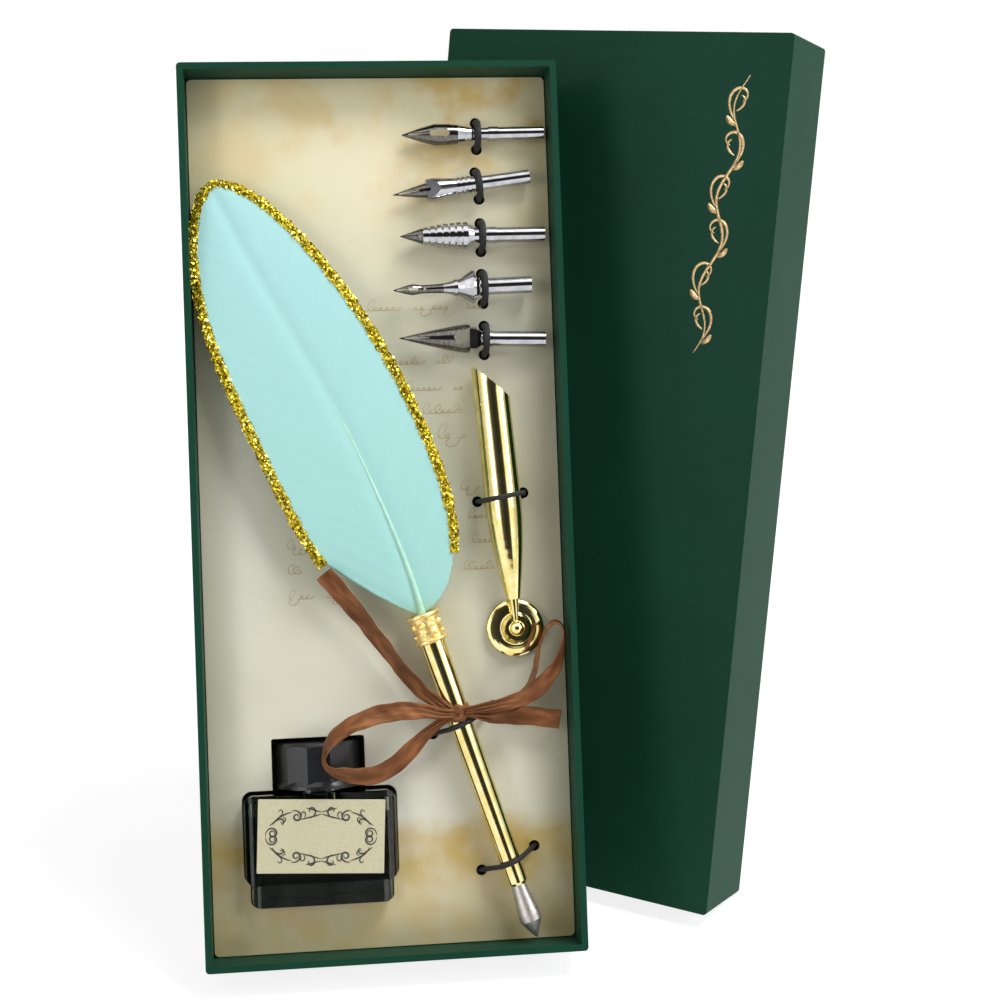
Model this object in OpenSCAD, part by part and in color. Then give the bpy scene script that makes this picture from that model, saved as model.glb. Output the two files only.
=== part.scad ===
// Quill pen gift set in a covered board box.
// The open tray leans back on its lid, which stands on its lower end behind it.
// Everything inside is drawn lying flat in the tray's own frame and stood up at the end:
// x across the tray, y up its length from the outside of the lower end, z out of its floor.

/* [Tray] */
// Outside width of the tray
tray_w = 115; // [113:1:140]
// Outside length of the tray
tray_l = 272; // [268:1:330]
// Outside depth of the tray
tray_d = 33; // [33:0.5:50]
// Greyboard in the walls and floor
board_t = 1.4; // [1:0.1:2.4]
// Covering paper
paper_t = 0.3; // [0.2:0.05:0.5]
// Upright corners of the tray and the lid
corner_r = 1.2; // [0.8:0.1:3]

/* [Lid] */
// Gap between the lid and the tray, each side
lid_gap = 0.5; // [0.3:0.1:1.5]
// Outside depth of the lid
lid_d = 30; // [20:1:45]

/* [Standing] */
// How far the tray leans back
tray_lean = 17; // [10:1:25]
// How far the lid leans back
lid_lean = 10.5; // [5:0.5:16]
// How far the lid is turned towards the right
lid_yaw = 35; // [20:1:45]
// Sideways place of the lid's middle behind the tray
lid_side = 25.7; // [15:0.1:40]
// Gap where the tray's back corner meets the lid's face
rest_gap = 0.3; // [0.1:0.1:1]

/* [Insert] */
// Printed card of the platform
card_t = 1; // [0.6:0.1:2]
// Depth of the platform below the rim
recess = 12; // [11:0.5:16]
// Gap between the platform and the tray walls
card_gap = 0.3; // [0.2:0.1:1]
// Gap between the bottle and its window in the card
window_gap = 0.6; // [0.5:0.1:3]
// Punched holes for the elastic cords
cord_hole_r = 1.7; // [1.6:0.1:2]
// How close a thing lies to what carries it
seat = 0.3; // [0.2:0.05:0.5]

/* [Elastic cords] */
// Radius of the cords over the nibs
nib_cord_r = 1; // [0.7:0.1:1.2]
// Radius of the cords over the pen and the stand
pen_cord_r = 0.75; // [0.6:0.05:1]
// Knot under the card
cord_knot_r = 1.8; // [1.6:0.1:2.5]
// Slack between a cord and what it holds
cord_slack = 0.15; // [0.05:0.05:0.4]

/* [Ink bottle] */
// Width of the glass
glass_w = 46; // [40:1:52]
// Height of the glass without its neck
glass_h = 34; // [30:1:40]
// Depth of the glass from back to front
glass_d = 26; // [22:1:28]
// Height of the narrower foot
foot_h = 7; // [4:0.5:9]
// How far the foot is set in on each side
foot_in = 1.8; // [0.8:0.1:3]
// Wall of the glass
glass_wall = 2.4; // [1.5:0.1:4]
// Rounding of the upright glass edges
glass_r = 3.5; // [2:0.5:6]
// Rounding of the shoulders and the lower corners, seen from the front
shoulder_r = 3; // [1:0.5:4]
// Outside radius of the neck
neck_r = 9; // [7:0.5:10]
// Height of the neck
neck_h = 10; // [8:0.5:11]
// Radius of the cap across its corners
cap_r = 13.3; // [11:0.1:13.5]
// Number of flats on the cap
cap_flats = 12; // [8:2:12]
// Height of the cap
cap_h = 13.8; // [13:0.1:18]
// Radius of the skirt below the flats
skirt_r = 13.6; // [12:0.1:14]
// Height of the skirt
skirt_h = 1.8; // [1:0.1:3]
// Label width
label_w = 38.2; // [30:0.2:40]
// Label height
label_h = 22.2; // [18:0.2:24]
// How crooked the label was stuck on
label_turn = -3; // [-4:0.5:4]
// Middle of the bottle across the tray
bottle_x = -22; // [-30:0.5:-20]
// Underside of the foot above the tray's lower end
bottle_y = 17.2; // [10:0.1:30]

/* [Pen] */
// Ferrule's upper end across the tray
pen_x = 10.9; // [8:0.1:14]
// Ferrule's upper end along the tray
pen_y = 104.1; // [104:0.1:112]
// How far the pen is turned from the tray's length
pen_turn = 17.6; // [14:0.1:19]
// Length of the ferrule
ferrule_l = 9.4; // [8:0.1:12]
// Radius of the ferrule's rims
ferrule_r = 5.3; // [4.9:0.1:6]
// Number of leaves round the ferrule
ferrule_leaves = 8; // [6:1:10]
// End of the barrel, from the ferrule's upper end
barrel_l = 87.9; // [80:0.1:88]
// Barrel radius in the ferrule
barrel_r1 = 4.05; // [3.6:0.05:4.3]
// Barrel radius at the nib
barrel_r2 = 3.15; // [2.9:0.05:3.5]
// Widest half width of the pen's nib
nib_half_w = 3.5; // [3:0.1:4]
// Nib tip, from the ferrule's upper end
nib_tip = 105.2; // [100:0.1:105.5]
// Sheet steel of the nibs
steel_t = 0.35; // [0.25:0.05:0.5]

/* [Feather] */
// Length of the vane from the ferrule
feather_l = 146; // [130:1:150]
// Widest half width of the vane with its edge
feather_half_w = 25.2; // [20:0.1:26]
// How far the feather is turned from the tray's length
feather_turn = 23; // [21:0.1:24]
// How far the middle of the feather arches up
feather_arch = 4.8; // [3.5:0.1:5]
// How far the edges of the vane droop
feather_droop = 0.5; // [0:0.1:1]
// Thickness of the vane
vane_t = 0.5; // [0.4:0.1:1]
// Width of the glitter along the edge
glitter_w = 3; // [2:0.1:4]
// Thickness of the glitter
glitter_t = 1.2; // [0.8:0.1:1.6]

/* [Pen stand] */
// Ball centre across the tray
stand_x = 39.8; // [38:0.1:41]
// Ball centre along the tray
stand_y = 98.3; // [97:0.1:100]
// How far the tube is turned from the tray's length
stand_turn = 4.1; // [2:0.1:6]
// Largest radius of the tube
tube_r = 5.6; // [5.4:0.1:5.8]
// Tube wall
tube_wall = 0.6; // [0.4:0.05:0.9]
// Ball centre to the tip of the slanted mouth
tube_l = 81.5; // [75:0.5:82]
// Slant of the mouth along the tube
mouth_slant = 11; // [4:0.5:14]
// Depth of the socket in the tube
socket_l = 35; // [25:1:38]
// Ball radius
ball_r = 2.5; // [2.2:0.05:2.6]
// Base radius
base_r = 8.9; // [8:0.1:9.2]
// Felt under the base
felt_t = 0.8; // [0.5:0.1:1.2]

/* [Ribbon] */
// Ribbon width
ribbon_w = 6.2; // [5:0.1:6.4]
// Ribbon thickness
ribbon_t = 0.5; // [0.4:0.1:0.7]

/* [Hidden] */

wall_t = board_t + 2 * paper_t;
floor_z = board_t + paper_t;
card_z = tray_d - recess;
inner_r = 0.4;
lid_w = tray_w + 2 * (lid_gap + wall_t);
lid_l = tray_l + 2 * (lid_gap + wall_t);
card_w = tray_w - 2 * (wall_t + card_gap);
card_l = tray_l - 2 * (wall_t + card_gap);
card_y = wall_t + card_gap;
card_r = 1.5;

// Standing places in the final frame, for corners given in the flat frames
function stood(p, lean) = [p[0], p[1] * sin(lean) - p[2] * cos(lean), p[1] * cos(lean) + p[2] * sin(lean)];
function turned(p, a) = [p[0] * cos(a) - p[1] * sin(a), p[0] * sin(a) + p[1] * cos(a), p[2]];
lid_normal = turned([0, -cos(lid_lean), sin(lid_lean)], -lid_yaw);
lean_corner = stood([tray_w / 2, tray_l, 0], tray_lean);
lid_back = (lid_d + rest_gap - lean_corner * lid_normal) / cos(lid_lean);
lid_place = turned([lid_side, lid_back, 0], -lid_yaw);
tray_corners = [for (x = [-0.5, 0.5], y = [0, 1], z = [0, 1])
    stood([x * tray_w, y * tray_l, z * tray_d], tray_lean)];
lid_corners = [for (x = [-0.5, 0.5], y = [0, 1], z = [0, 1])
    turned(stood([x * lid_w, y * lid_l, z * lid_d], lid_lean), -lid_yaw) + lid_place];
all_corners = concat(tray_corners, lid_corners);
xs = [for (c = all_corners) c[0]];
ys = [for (c = all_corners) c[1]];
middle = [(min(xs) + max(xs)) / 2, (min(ys) + max(ys)) / 2, 0];

module on_tray() {
    translate(-middle) rotate([90 - tray_lean, 0, 0]) children();
}

module on_lid() {
    translate(lid_place - middle) rotate([0, 0, -lid_yaw]) rotate([90 - lid_lean, 0, 0]) children();
}

// A rectangle with round corners, standing on y = 0
module round_rect(w, l, r) {
    translate([-w / 2 + r, 0]) square([w - 2 * r, l]);
    translate([-w / 2, r]) square([w, l - 2 * r]);
    for (x = [-w / 2 + r, w / 2 - r], y = [r, l - r]) translate([x, y]) circle(r = r, $fn = 48);
}

// Skin over rings of points that run from the first end to the last
module skin(rings) {
    n = len(rings[0]);
    m = len(rings);
    half = floor(n / 2);
    points = [for (ring = rings) for (p = ring) p];
    sides = [for (i = [0 : m - 2]) for (j = [0 : n - 1])
        let (a = i * n + j, b = i * n + (j + 1) % n)
        for (f = [[a, b, b + n], [a, b + n, a + n]]) f];
    first = [for (j = [0 : half - 2]) for (f = [[j, n - 1 - j, n - 2 - j], [j, n - 2 - j, j + 1]]) f];
    last = [for (f = first) [for (k = [2, 1, 0]) f[k] + (m - 1) * n]];
    polyhedron(points = points, faces = concat(sides, first, last), convexity = 6);
}

// Smooth line through hand-placed points, with four steps between two of them
function spline(p, steps = 4) = let (m = len(p)) [
    for (i = [0 : m - 2]) for (k = [0 : (i == m - 2 ? steps : steps - 1)])
    let (u = k / steps, a = p[max(i - 1, 0)], b = p[i], c = p[i + 1], d = p[min(i + 2, m - 1)])
    0.5 * (2 * b + (c - a) * u + (2 * a - 5 * b + 4 * c - d) * u * u + (3 * b - 3 * c + d - a) * u * u * u)];
function unit(v) = v / norm(v);
function slice(v) = [v[0], v[1], v[2]];

// Rings of a flat band: each point of the line is [x, y, z, tilt about the line, share of the width]
function band_rings(line, w, t) = let (m = len(line)) [
    for (i = [0 : m - 1])
    let (
        c = slice(line[i]),
        along = unit(slice(line[min(i + 1, m - 1)]) - slice(line[max(i - 1, 0)])),
        flat_side = unit(cross(along, [0, 0, 1])),
        flat_up = cross(flat_side, along),
        a = line[i][3],
        half_w = w / 2 * (line[i][4] == undef ? 1 : line[i][4]),
        side = flat_side * cos(a) + flat_up * sin(a),
        up = flat_up * cos(a) - flat_side * sin(a)
    )
    [for (q = [[1, 0.25], [0.85, 0.5], [-0.85, 0.5], [-1, 0.25], [-1, -0.25], [-0.85, -0.5], [0.85, -0.5], [1, -0.25]])
        c + side * (q[0] * half_w) + up * (q[1] * t)]];

// Board shell and its covering, open towards +z, used for the tray and, turned over, for the lid

module box_board(w, l, d) {
    difference() {
        translate([0, paper_t, paper_t]) linear_extrude(d - 2 * paper_t)
            round_rect(w - 2 * paper_t, l - 2 * paper_t, corner_r - paper_t);
        translate([0, floor_z, floor_z]) linear_extrude(d)
            round_rect(w - 2 * floor_z, l - 2 * floor_z, inner_r + paper_t);
    }
}

module box_wrap(w, l, d) {
    difference() {
        linear_extrude(d) round_rect(w, l, corner_r);
        box_board(w, l, d);
        translate([0, wall_t, floor_z]) linear_extrude(d) round_rect(w - 2 * wall_t, l - 2 * wall_t, inner_r);
    }
}

module tray_board() {
    color("#8f8a80") on_tray() box_board(tray_w, tray_l, tray_d);
}

module tray_wrap() {
    color("#1c4a37") on_tray() box_wrap(tray_w, tray_l, tray_d);
}

module lid_board() {
    color("#8f8a80") on_lid() translate([0, 0, lid_d]) mirror([0, 0, 1]) box_board(lid_w, lid_l, lid_d);
}

module lid_wrap() {
    color("#1c4a37") on_lid() translate([0, 0, lid_d]) mirror([0, 0, 1]) box_wrap(lid_w, lid_l, lid_d);
}

// Spare nibs: each is [tip x, tip y, turn, widest radius, cord place, shank radius, length]
spare = [
    [10, 251.1, 0.4, 3.3, 23.3, 2.1, 43.9],
    [6.7, 232.6, 7, 3.6, 26.6, 2.2, 42.6],
    [8.4, 219.7, 0, 4.15, 25.2, 2.4, 44.6],
    [5.6, 203, 1.4, 5.2, 28, 2.6, 42.6],
    [7, 188.4, -1.6, 4.4, 26.6, 2.45, 45]
];
spare_root = [17.2, 12.4, 6.9, 15.4, 21.5];
boss_r = 0.2;
function spare_z(i) = card_z + seat + spare[i][3];
function along(i, s) = [spare[i][0] + s * cos(spare[i][2]), spare[i][1] + s * sin(spare[i][2]), 0];
nib_hold_r = [for (s = spare) s[5] + boss_r + cord_slack];

// Pen and stand, measured in the tray's frame
pen_z = card_z + seat + ferrule_r;
function pen_pt(s) = [pen_x + s * sin(pen_turn), pen_y - s * cos(pen_turn), pen_z];
function barrel_r(s) = barrel_r1 + (barrel_r2 - barrel_r1) * s / barrel_l;
upper_tie_s = 35.7;
lower_tie_s = 80.5;
stand_z = card_z + seat + tube_r;
stand_tie_s = 40.6;
function stand_pt(s) = [stand_x - s * sin(stand_turn), stand_y + s * cos(stand_turn), stand_z];

// Elastic cords: each is [centre of what it holds, turn of the cord, its radius, half span, shift, cord radius]
ties = concat(
    [for (i = [0 : 4]) [along(i, spare[i][4]) + [0, 0, spare_z(i)], spare[i][2] + 90,
        nib_hold_r[i], nib_hold_r[i] + 2 * nib_cord_r - 0.4, 0, nib_cord_r]],
    [
        [stand_pt(stand_tie_s), stand_turn + 5, tube_r + cord_slack, tube_r + 2 * pen_cord_r + 0.1, 0, pen_cord_r],
        [pen_pt(upper_tie_s), pen_turn + 5, barrel_r(upper_tie_s) + cord_slack, 9.9, 1.2, pen_cord_r],
        [pen_pt(lower_tie_s), pen_turn + 4, barrel_r(lower_tie_s) + cord_slack, 8.6, 0, pen_cord_r]
    ]);

// One side of a cord: where it leaves the round thing it lies on, seen along that thing
function leave_angle(a, h, r) = let (d = sqrt(a * a + h * h)) atan2(h, -a) - asin(r / d) - 90;

function leave_point(a, h, r) = let (t = leave_angle(a, h, r)) [r * cos(t), h + r * sin(t)];

module tie_leg(a, h, r, cord_r) {
    top = leave_point(a, h, r);
    dir = unit(top - [a, 0]);
    foot = [a, 0] - dir * ((card_t + 1.2) / dir[1]);
    translate([foot[0], 0, foot[1]]) rotate([0, atan2(dir[0], dir[1]), 0]) cylinder(r = cord_r, h = norm(top - foot), $fn = 24);
    translate([top[0], 0, top[1]]) sphere(r = cord_r * 1.08, $fn = 24);
    translate([foot[0], 0, foot[1] - cord_knot_r * 0.6]) sphere(r = cord_knot_r, $fn = 24);
}

module tie(k) {
    c = ties[k][0];
    h = c[2] - card_z;
    cord_r = ties[k][5];
    r = ties[k][2] + cord_r;
    right = ties[k][3] + ties[k][4];
    left = ties[k][3] - ties[k][4];
    from = leave_angle(right, h, r);
    to = 180 - leave_angle(left, h, r);
    color("#141414") on_tray() translate([c[0], c[1], card_z]) rotate([0, 0, ties[k][1]]) {
        tie_leg(right, h, r, cord_r);
        mirror([1, 0, 0]) tie_leg(left, h, r, cord_r);
        translate([0, 0, h]) rotate([90, 0, 0]) rotate([0, 0, from])
            rotate_extrude(angle = to - from, $fn = 48) translate([r, 0]) circle(r = cord_r, $fn = 24);
    }
}

// Each hole is centred on the slanting cord at the middle of the card's thickness
module tie_holes(k) {
    c = ties[k][0];
    for (s = [1, -1]) {
        a = ties[k][3] + s * ties[k][4];
        dir = unit(leave_point(a, c[2] - card_z, ties[k][2] + ties[k][5]) - [a, 0]);
        translate([c[0], c[1], card_z]) rotate([0, 0, ties[k][1]])
            translate([s * (a - dir[0] / dir[1] * card_t / 2), 0, -card_t - 1])
                cylinder(r = cord_hole_r, h = card_t + 2, $fn = 32);
    }
}

// Platform card: top panel with the bottle's window, and flanges folded down to the floor

cap_y = bottle_y + glass_h;

module window_outline() {
    g = window_gap;
    translate([bottle_x, bottle_y + foot_h - g]) round_rect(glass_w + 2 * g, glass_h - foot_h + 2 * g, shoulder_r);
    translate([bottle_x, bottle_y - g]) round_rect(glass_w - 2 * foot_in + 2 * g, foot_h + 4, foot_r);
    translate([bottle_x, cap_y - 2]) round_rect(2 * (skirt_r + g), 2 + cap_start + cap_h + cap_rise + g, 0.8);
}

module insert_card() {
    color("#ddd8bd") on_tray() difference() {
        translate([0, card_y, floor_z + seat]) linear_extrude(card_z - floor_z - seat) round_rect(card_w, card_l, card_r);
        translate([0, card_y + card_t, floor_z]) linear_extrude(card_z - floor_z - card_t)
            round_rect(card_w - 2 * card_t, card_l - 2 * card_t, card_r - card_t + 0.1);
        translate([0, 0, floor_z + 1]) linear_extrude(tray_d) window_outline();
        for (k = [0 : len(ties) - 1]) tie_holes(k);
    }
}

// Ink bottle, drawn upright in its own frame: x across, y up the bottle, z towards the front
bottle_z = floor_z + seat + skirt_r;
cap_start = 1;
cap_rise = 0.8;
liner_t = 1;
neck_gap = 0.25;
foot_r = 2;

module on_bottle() {
    on_tray() translate([bottle_x, bottle_y, bottle_z]) children();
}

module upright(h) {
    rotate([-90, 0, 0]) linear_extrude(h) children();
}

module centred_rect(w, d, r) {
    translate([0, -d / 2]) round_rect(w, d, r);
}

// Upright block with round edges, whose corners are round from the front as well
module glass_block(w, h, d, front_r) {
    intersection() {
        upright(h) centred_rect(w, d, glass_r);
        translate([0, 0, -d / 2]) linear_extrude(d) round_rect(w, h, front_r);
    }
}

module bottle_glass() {
    bowl_h = glass_h - foot_h;
    color("#39413c", 0.5) on_bottle() difference() {
        union() {
            glass_block(glass_w - 2 * foot_in, foot_h + 3, glass_d - 2 * foot_in, foot_r);
            translate([0, foot_h, 0]) glass_block(glass_w, bowl_h, glass_d, shoulder_r);
            translate([0, glass_h, 0]) rotate([-90, 0, 0]) cylinder(r = neck_r, h = neck_h, $fn = 64);
        }
        translate([0, foot_h, 0]) upright(bowl_h - glass_wall)
            centred_rect(glass_w - 2 * glass_wall, glass_d - 2 * glass_wall, glass_r - 1.5);
        translate([0, foot_h, 0]) rotate([-90, 0, 0]) cylinder(r = neck_r - 2, h = bowl_h + neck_h + 1, $fn = 64);
    }
}

module ink() {
    level = glass_h - foot_h - glass_wall - 4;
    color("#0d0d12") on_bottle() translate([0, foot_h, 0]) upright(level)
        centred_rect(glass_w - 2 * glass_wall, glass_d - 2 * glass_wall, glass_r - 1.5);
}

module bottle_label() {
    color("#dcd6b4") on_bottle() translate([0, foot_h + (glass_h - foot_h) / 2 + 0.6, glass_d / 2])
        rotate([0, 0, label_turn]) translate([0, -label_h / 2, 0]) linear_extrude(0.15) round_rect(label_w, label_h, 0.3);
}

module bottle_cap() {
    color("#17181c") on_bottle() translate([0, glass_h + cap_start, 0]) rotate([-90, 0, 0]) difference() {
        union() {
            intersection() {
                rotate([0, 0, 180 / cap_flats]) cylinder(r = cap_r, h = cap_h, $fn = cap_flats);
                rotate_extrude($fn = 96) polygon([[0, 0], [skirt_r, 0], [skirt_r, cap_h - 1.6],
                    [cap_r - 1.1, cap_h], [0, cap_h]]);
            }
            rotate_extrude($fn = 96) polygon([[0, 0], [skirt_r, 0], [skirt_r, skirt_h - 0.8],
                [skirt_r - 1, skirt_h + 1], [0, skirt_h + 1]]);
        }
        translate([0, 0, -1]) cylinder(r = neck_r + neck_gap, h = 1 + neck_h + liner_t, $fn = 64);
    }
}

module cap_liner() {
    color("#e6e2d6") on_bottle() translate([0, glass_h + cap_start + neck_h, 0]) rotate([-90, 0, 0])
        cylinder(r = neck_r, h = liner_t - 0.05, $fn = 64);
}

// Pen, drawn along +z from the ferrule's upper end to the nib, with y out of the tray

quill_in = 16;
quill_r = 1.6;
plug_r = 1.9;
nib_in = 12;

module on_pen() {
    on_tray() translate(pen_pt(0)) rotate([0, 0, pen_turn]) rotate([90, 0, 0]) children();
}

module pen_barrel() {
    color("#d9b64a") on_pen() difference() {
        rotate_extrude($fn = 64) polygon([[0, 1], [barrel_r(1) - 0.4, 1], [barrel_r(1), 1.4],
            [barrel_r(barrel_l - 0.8), barrel_l - 0.8], [barrel_r2 - 0.45, barrel_l], [0, barrel_l]]);
        translate([0, 0, 0]) cylinder(r = quill_r + 0.15, h = quill_in + 3, $fn = 32);
        translate([0, 0, barrel_l - nib_in - 2]) cylinder(r = plug_r + steel_t + 0.1, h = nib_in + 3, $fn = 32);
    }
}

// Cast ring with a beaded rim at each end, and a band of leaves and berries between them
module pen_ferrule() {
    rim_r = 0.75;
    bore_r = barrel_r1 + 0.03;
    band_r = bore_r + 0.37;
    color("#dba93a") on_pen() difference() {
        union() {
            translate([0, 0, 0.4]) cylinder(r = band_r, h = ferrule_l - 0.8, $fn = 64);
            for (z = [rim_r, ferrule_l - rim_r])
                translate([0, 0, z]) rotate_extrude($fn = 64) translate([ferrule_r - rim_r, 0]) circle(r = rim_r, $fn = 24);
            for (i = [0 : ferrule_leaves - 1]) rotate([0, 0, (i + 0.5) * 360 / ferrule_leaves]) {
                translate([bore_r + 0.04, 0, ferrule_l * 0.38]) rotate([0, 90, 0])
                    cylinder(r1 = 1.3, r2 = 0.5, h = ferrule_r - bore_r - 0.25, $fn = 32);
                translate([ferrule_r - 0.55, 0, ferrule_l * 0.7]) sphere(r = 0.5, $fn = 24);
            }
        }
        translate([0, 0, 1]) cylinder(r = bore_r, h = ferrule_l, $fn = 64);
        translate([0, 0, -1]) cylinder(r = quill_r + 0.25, h = ferrule_l, $fn = 32);
    }
}

module nib_plug() {
    color("#202020") on_pen() translate([0, 0, barrel_l - nib_in]) cylinder(r = plug_r - 0.05, h = nib_in + 1.4, $fn = 32);
}

// Bent sheet: a shell of revolution, kept on its upper side and cut to the nib's outline
module pen_nib() {
    shoulder = 98.5;
    r0 = plug_r + steel_t;
    color("#b9b7b4") on_pen() difference() {
        intersection() {
            rotate_extrude($fn = 64) polygon([
                [r0 - steel_t, barrel_l - nib_in + 1], [r0, barrel_l - nib_in + 1], [r0, barrel_l + 0.3],
                [nib_half_w, shoulder - 1], [nib_half_w, shoulder + 1], [0.45, nib_tip - 0.3], [0.1, nib_tip],
                [0.05, nib_tip - 1.2], [nib_half_w - steel_t, shoulder + 0.6], [nib_half_w - steel_t, shoulder - 0.8],
                [r0 - steel_t, barrel_l + 0.6]]);
            translate([-10, -0.6, 0]) cube([20, 10, nib_tip + 5]);
        }
        translate([-0.12, 0, shoulder - 3]) cube([0.24, 10, 12]);
        translate([0, 0, shoulder - 3]) rotate([-90, 0, 0]) cylinder(r = 0.55, h = 10, $fn = 24);
    }
}

// Feather: y runs up its middle line, x to the right, heights above the tray's floor
feather_base = pen_z;
tip_part = 0.42;
shaft_bow = 6;

// Half width at share t of the length: round at the base, fuller in the middle, drawn in to the tip
function half_width(t, w) = w * (t < tip_part
    ? sqrt(max(0, 1 - pow((tip_part - t) / tip_part, 2.8)))
    : pow(max(0, 1 - pow((t - tip_part) / (1 - tip_part), 2.4)), 0.6));
function arch_z(t) = feather_base + feather_arch * sin(180 * pow(min(1, max(0, t)), 0.8));
function vane_z(t, v) = arch_z(t) - feather_droop * v * v;
function shaft_xy(u) = [2 * u * (1 - u) * shaft_bow - u * u, 2 * u * (1 - u) * 30 + u * u * (feather_l - 3)];
function lift_xy(p, z) = [
    pen_x + p[0] * cos(feather_turn) - p[1] * sin(feather_turn),
    pen_y + p[0] * sin(feather_turn) + p[1] * cos(feather_turn), z];

module feather_vane() {
    rows = 26;
    cols = 8;
    inset = glitter_w * 0.6;
    length = feather_l - inset;
    rings = [for (i = [0 : rows])
        let (t = 0.5 - 0.5 * cos(180 * (0.02 + 0.96 * i / rows)), w = half_width(t, feather_half_w - inset))
        concat(
            [for (j = [0 : cols]) let (v = 2 * j / cols - 1) lift_xy([v * w, t * length], vane_z(t, v) + vane_t / 2)],
            [for (j = [cols : -1 : 0]) let (v = 2 * j / cols - 1) lift_xy([v * w, t * length], vane_z(t, v) - vane_t / 2)])];
    color("#a5e3dc") on_tray() skin(rings);
}

// The glitter runs from the left of the base round the tip to the right of the base
module glitter_edge() {
    steps = 60;
    inset = glitter_w / 2;
    length = feather_l - inset;
    left_start = 35;
    right_end = 52;
    line = [for (i = [0 : steps])
        let (
            a = -90 - left_start + (180 + left_start + right_end) * i / steps,
            b = max(-90, min(90, a)),
            on_tip = abs(a) <= 90,
            t = on_tip ? tip_part + (1 - tip_part) * cos(a) : tip_part * (1 - sin(abs(a) - 90)),
            side = a < 0 ? -1 : 1,
            w = half_width(t, feather_half_w - inset) * (on_tip ? 1 : 1)
        )
        concat(lift_xy([side * w * (abs(a) < 1 ? abs(a) : 1), t * length], vane_z(t, 1)), [0])];
    color("#c9a520") on_tray() skin(band_rings(line, glitter_w, glitter_t));
}

// Quill and shaft in one: round, straight into the barrel, then tapering up the vane
module feather_shaft() {
    steps = 22;
    sides = 8;
    stem = [for (s = [quill_in : -4 : 2]) concat(slice(pen_pt(s)), [quill_r])];
    rachis = [for (i = [0 : steps]) let (u = i / steps, p = shaft_xy(u))
        concat(lift_xy(p, arch_z(p[1] / feather_l) + 0.1), [quill_r * (1 - 0.82 * u) * (u == 0 ? 1 : 0.8)])];
    line = concat(stem, rachis);
    m = len(line);
    rings = [for (i = [0 : m - 1])
        let (
            c = slice(line[i]),
            d = unit(slice(line[min(i + 1, m - 1)]) - slice(line[max(i - 1, 0)])),
            side = unit(cross(d, [0, 0, 1])),
            up = cross(side, d)
        )
        [for (k = [0 : sides - 1]) c + line[i][3] * (side * cos(360 * k / sides) + up * sin(360 * k / sides))]];
    color("#d3f0dc") on_tray() skin(rings);
}

// Ribbon: knot on the barrel, two loops and two tails, each point [x, y, z, tilt, share of the width]
knot_s = 32.2;
route_tail_left = [[19.6, 73.7, 30.9, 0, 0.45], [15.4, 76.4, 29.9, 10, 0.6], [9.5, 80.9, 27.6, 24, 0.9],
    [3.9, 87.6, 26.8, 30, 1], [-3.3, 97.6, 26.8, 24, 1], [-10.7, 107.6, 29.1, 12, 1], [-18.6, 117.4, 31.2, 0, 1]];
route_loop_left = [[19.4, 73.6, 31.9, 0, 0.4], [14.6, 73.8, 31.8, -8, 0.6], [9, 74, 31.4, -14, 0.8],
    [-1.9, 73.2, 31.1, -20, 1], [-9.7, 71.3, 31.1, -23, 1], [-15.6, 68.2, 31.1, -25, 1], [-19, 63.2, 31.1, -25, 1],
    [-17.2, 58.7, 31.1, -25, 1], [-11, 56.8, 31.1, -22, 1], [-4, 57.6, 30.6, -18, 1], [2.9, 62, 30.2, -16, 0.9],
    [9.4, 67.4, 30.2, -12, 0.7], [14.4, 70.9, 31, -6, 0.5], [18.2, 72.6, 31.6, 0, 0.35]];
route_loop_right = [[21.8, 73.6, 31.8, 0, 0.4], [25.4, 73.6, 31.8, 0, 0.45], [31.5, 73.4, 30.9, 10, 0.75],
    [38.6, 75.8, 29.9, 22, 1], [45.1, 81.6, 29.4, 34, 1], [50.2, 89.4, 29.3, 40, 1], [52.6, 96.4, 29.6, 44, 1],
    [50.9, 100, 29.8, 50, 1], [48, 98.4, 29.8, 54, 1], [46.4, 92, 29.8, 50, 1], [44.2, 84.6, 30.6, 30, 1],
    [40.4, 79, 31.8, 14, 0.9], [32.4, 75.4, 32.3, 0, 0.6], [22.6, 74.3, 32.4, 0, 0.35]];
route_tail_right = [[21.8, 73.6, 31.1, 0, 0.4], [25.4, 73.3, 31.05, 0, 0.45], [29, 72.2, 29.8, -4, 0.6],
    [33.4, 71.8, 27.6, -8, 0.85], [39.6, 71.6, 26.2, -8, 1], [45.7, 70.9, 26.4, -4, 1], [52, 69.9, 27.2, 0, 1]];

module ribbon(route) {
    color("#7a4630") on_tray() skin(band_rings(spline(route), ribbon_w, ribbon_t));
}

module ribbon_knot() {
    hug_r = barrel_r(knot_s) + 0.1;
    color("#6e3d2a") on_pen() translate([0, 0, knot_s]) {
        rotate_extrude($fn = 48) polygon([[hug_r, -1.9], [hug_r + ribbon_t, -1.9], [hug_r + ribbon_t, 1.9], [hug_r, 1.9]]);
        hull() for (x = [-2.3, 2.3], z = [-1.3, 1.3]) translate([x, hug_r + 1, z]) sphere(r = 0.95, $fn = 20);
    }
}

// Pen stand, drawn along +z from the ball's centre to the mouth, with y out of the tray
stem_r1 = 0.9;
stem_r2 = 1.45;
stem_end = 9;
spigot_r = 0.9;
spigot_l = 3;
ball_fit = 0.05;

module on_stand() {
    on_tray() translate(stand_pt(0)) rotate([0, 0, stand_turn]) children();
}

module along_tube() {
    on_stand() rotate([-90, 0, 0]) mirror([0, 1, 0]) children();
}

// Tube radius at a place along it: swells out of the stem, then runs nearly straight
function tube_rad(s) = s > 40 ? tube_r - 0.12 * (s - 40) / 40
    : 2.1 + (tube_r - 2.1) * sin(90 * (s - stem_end) / (40 - stem_end));

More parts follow.
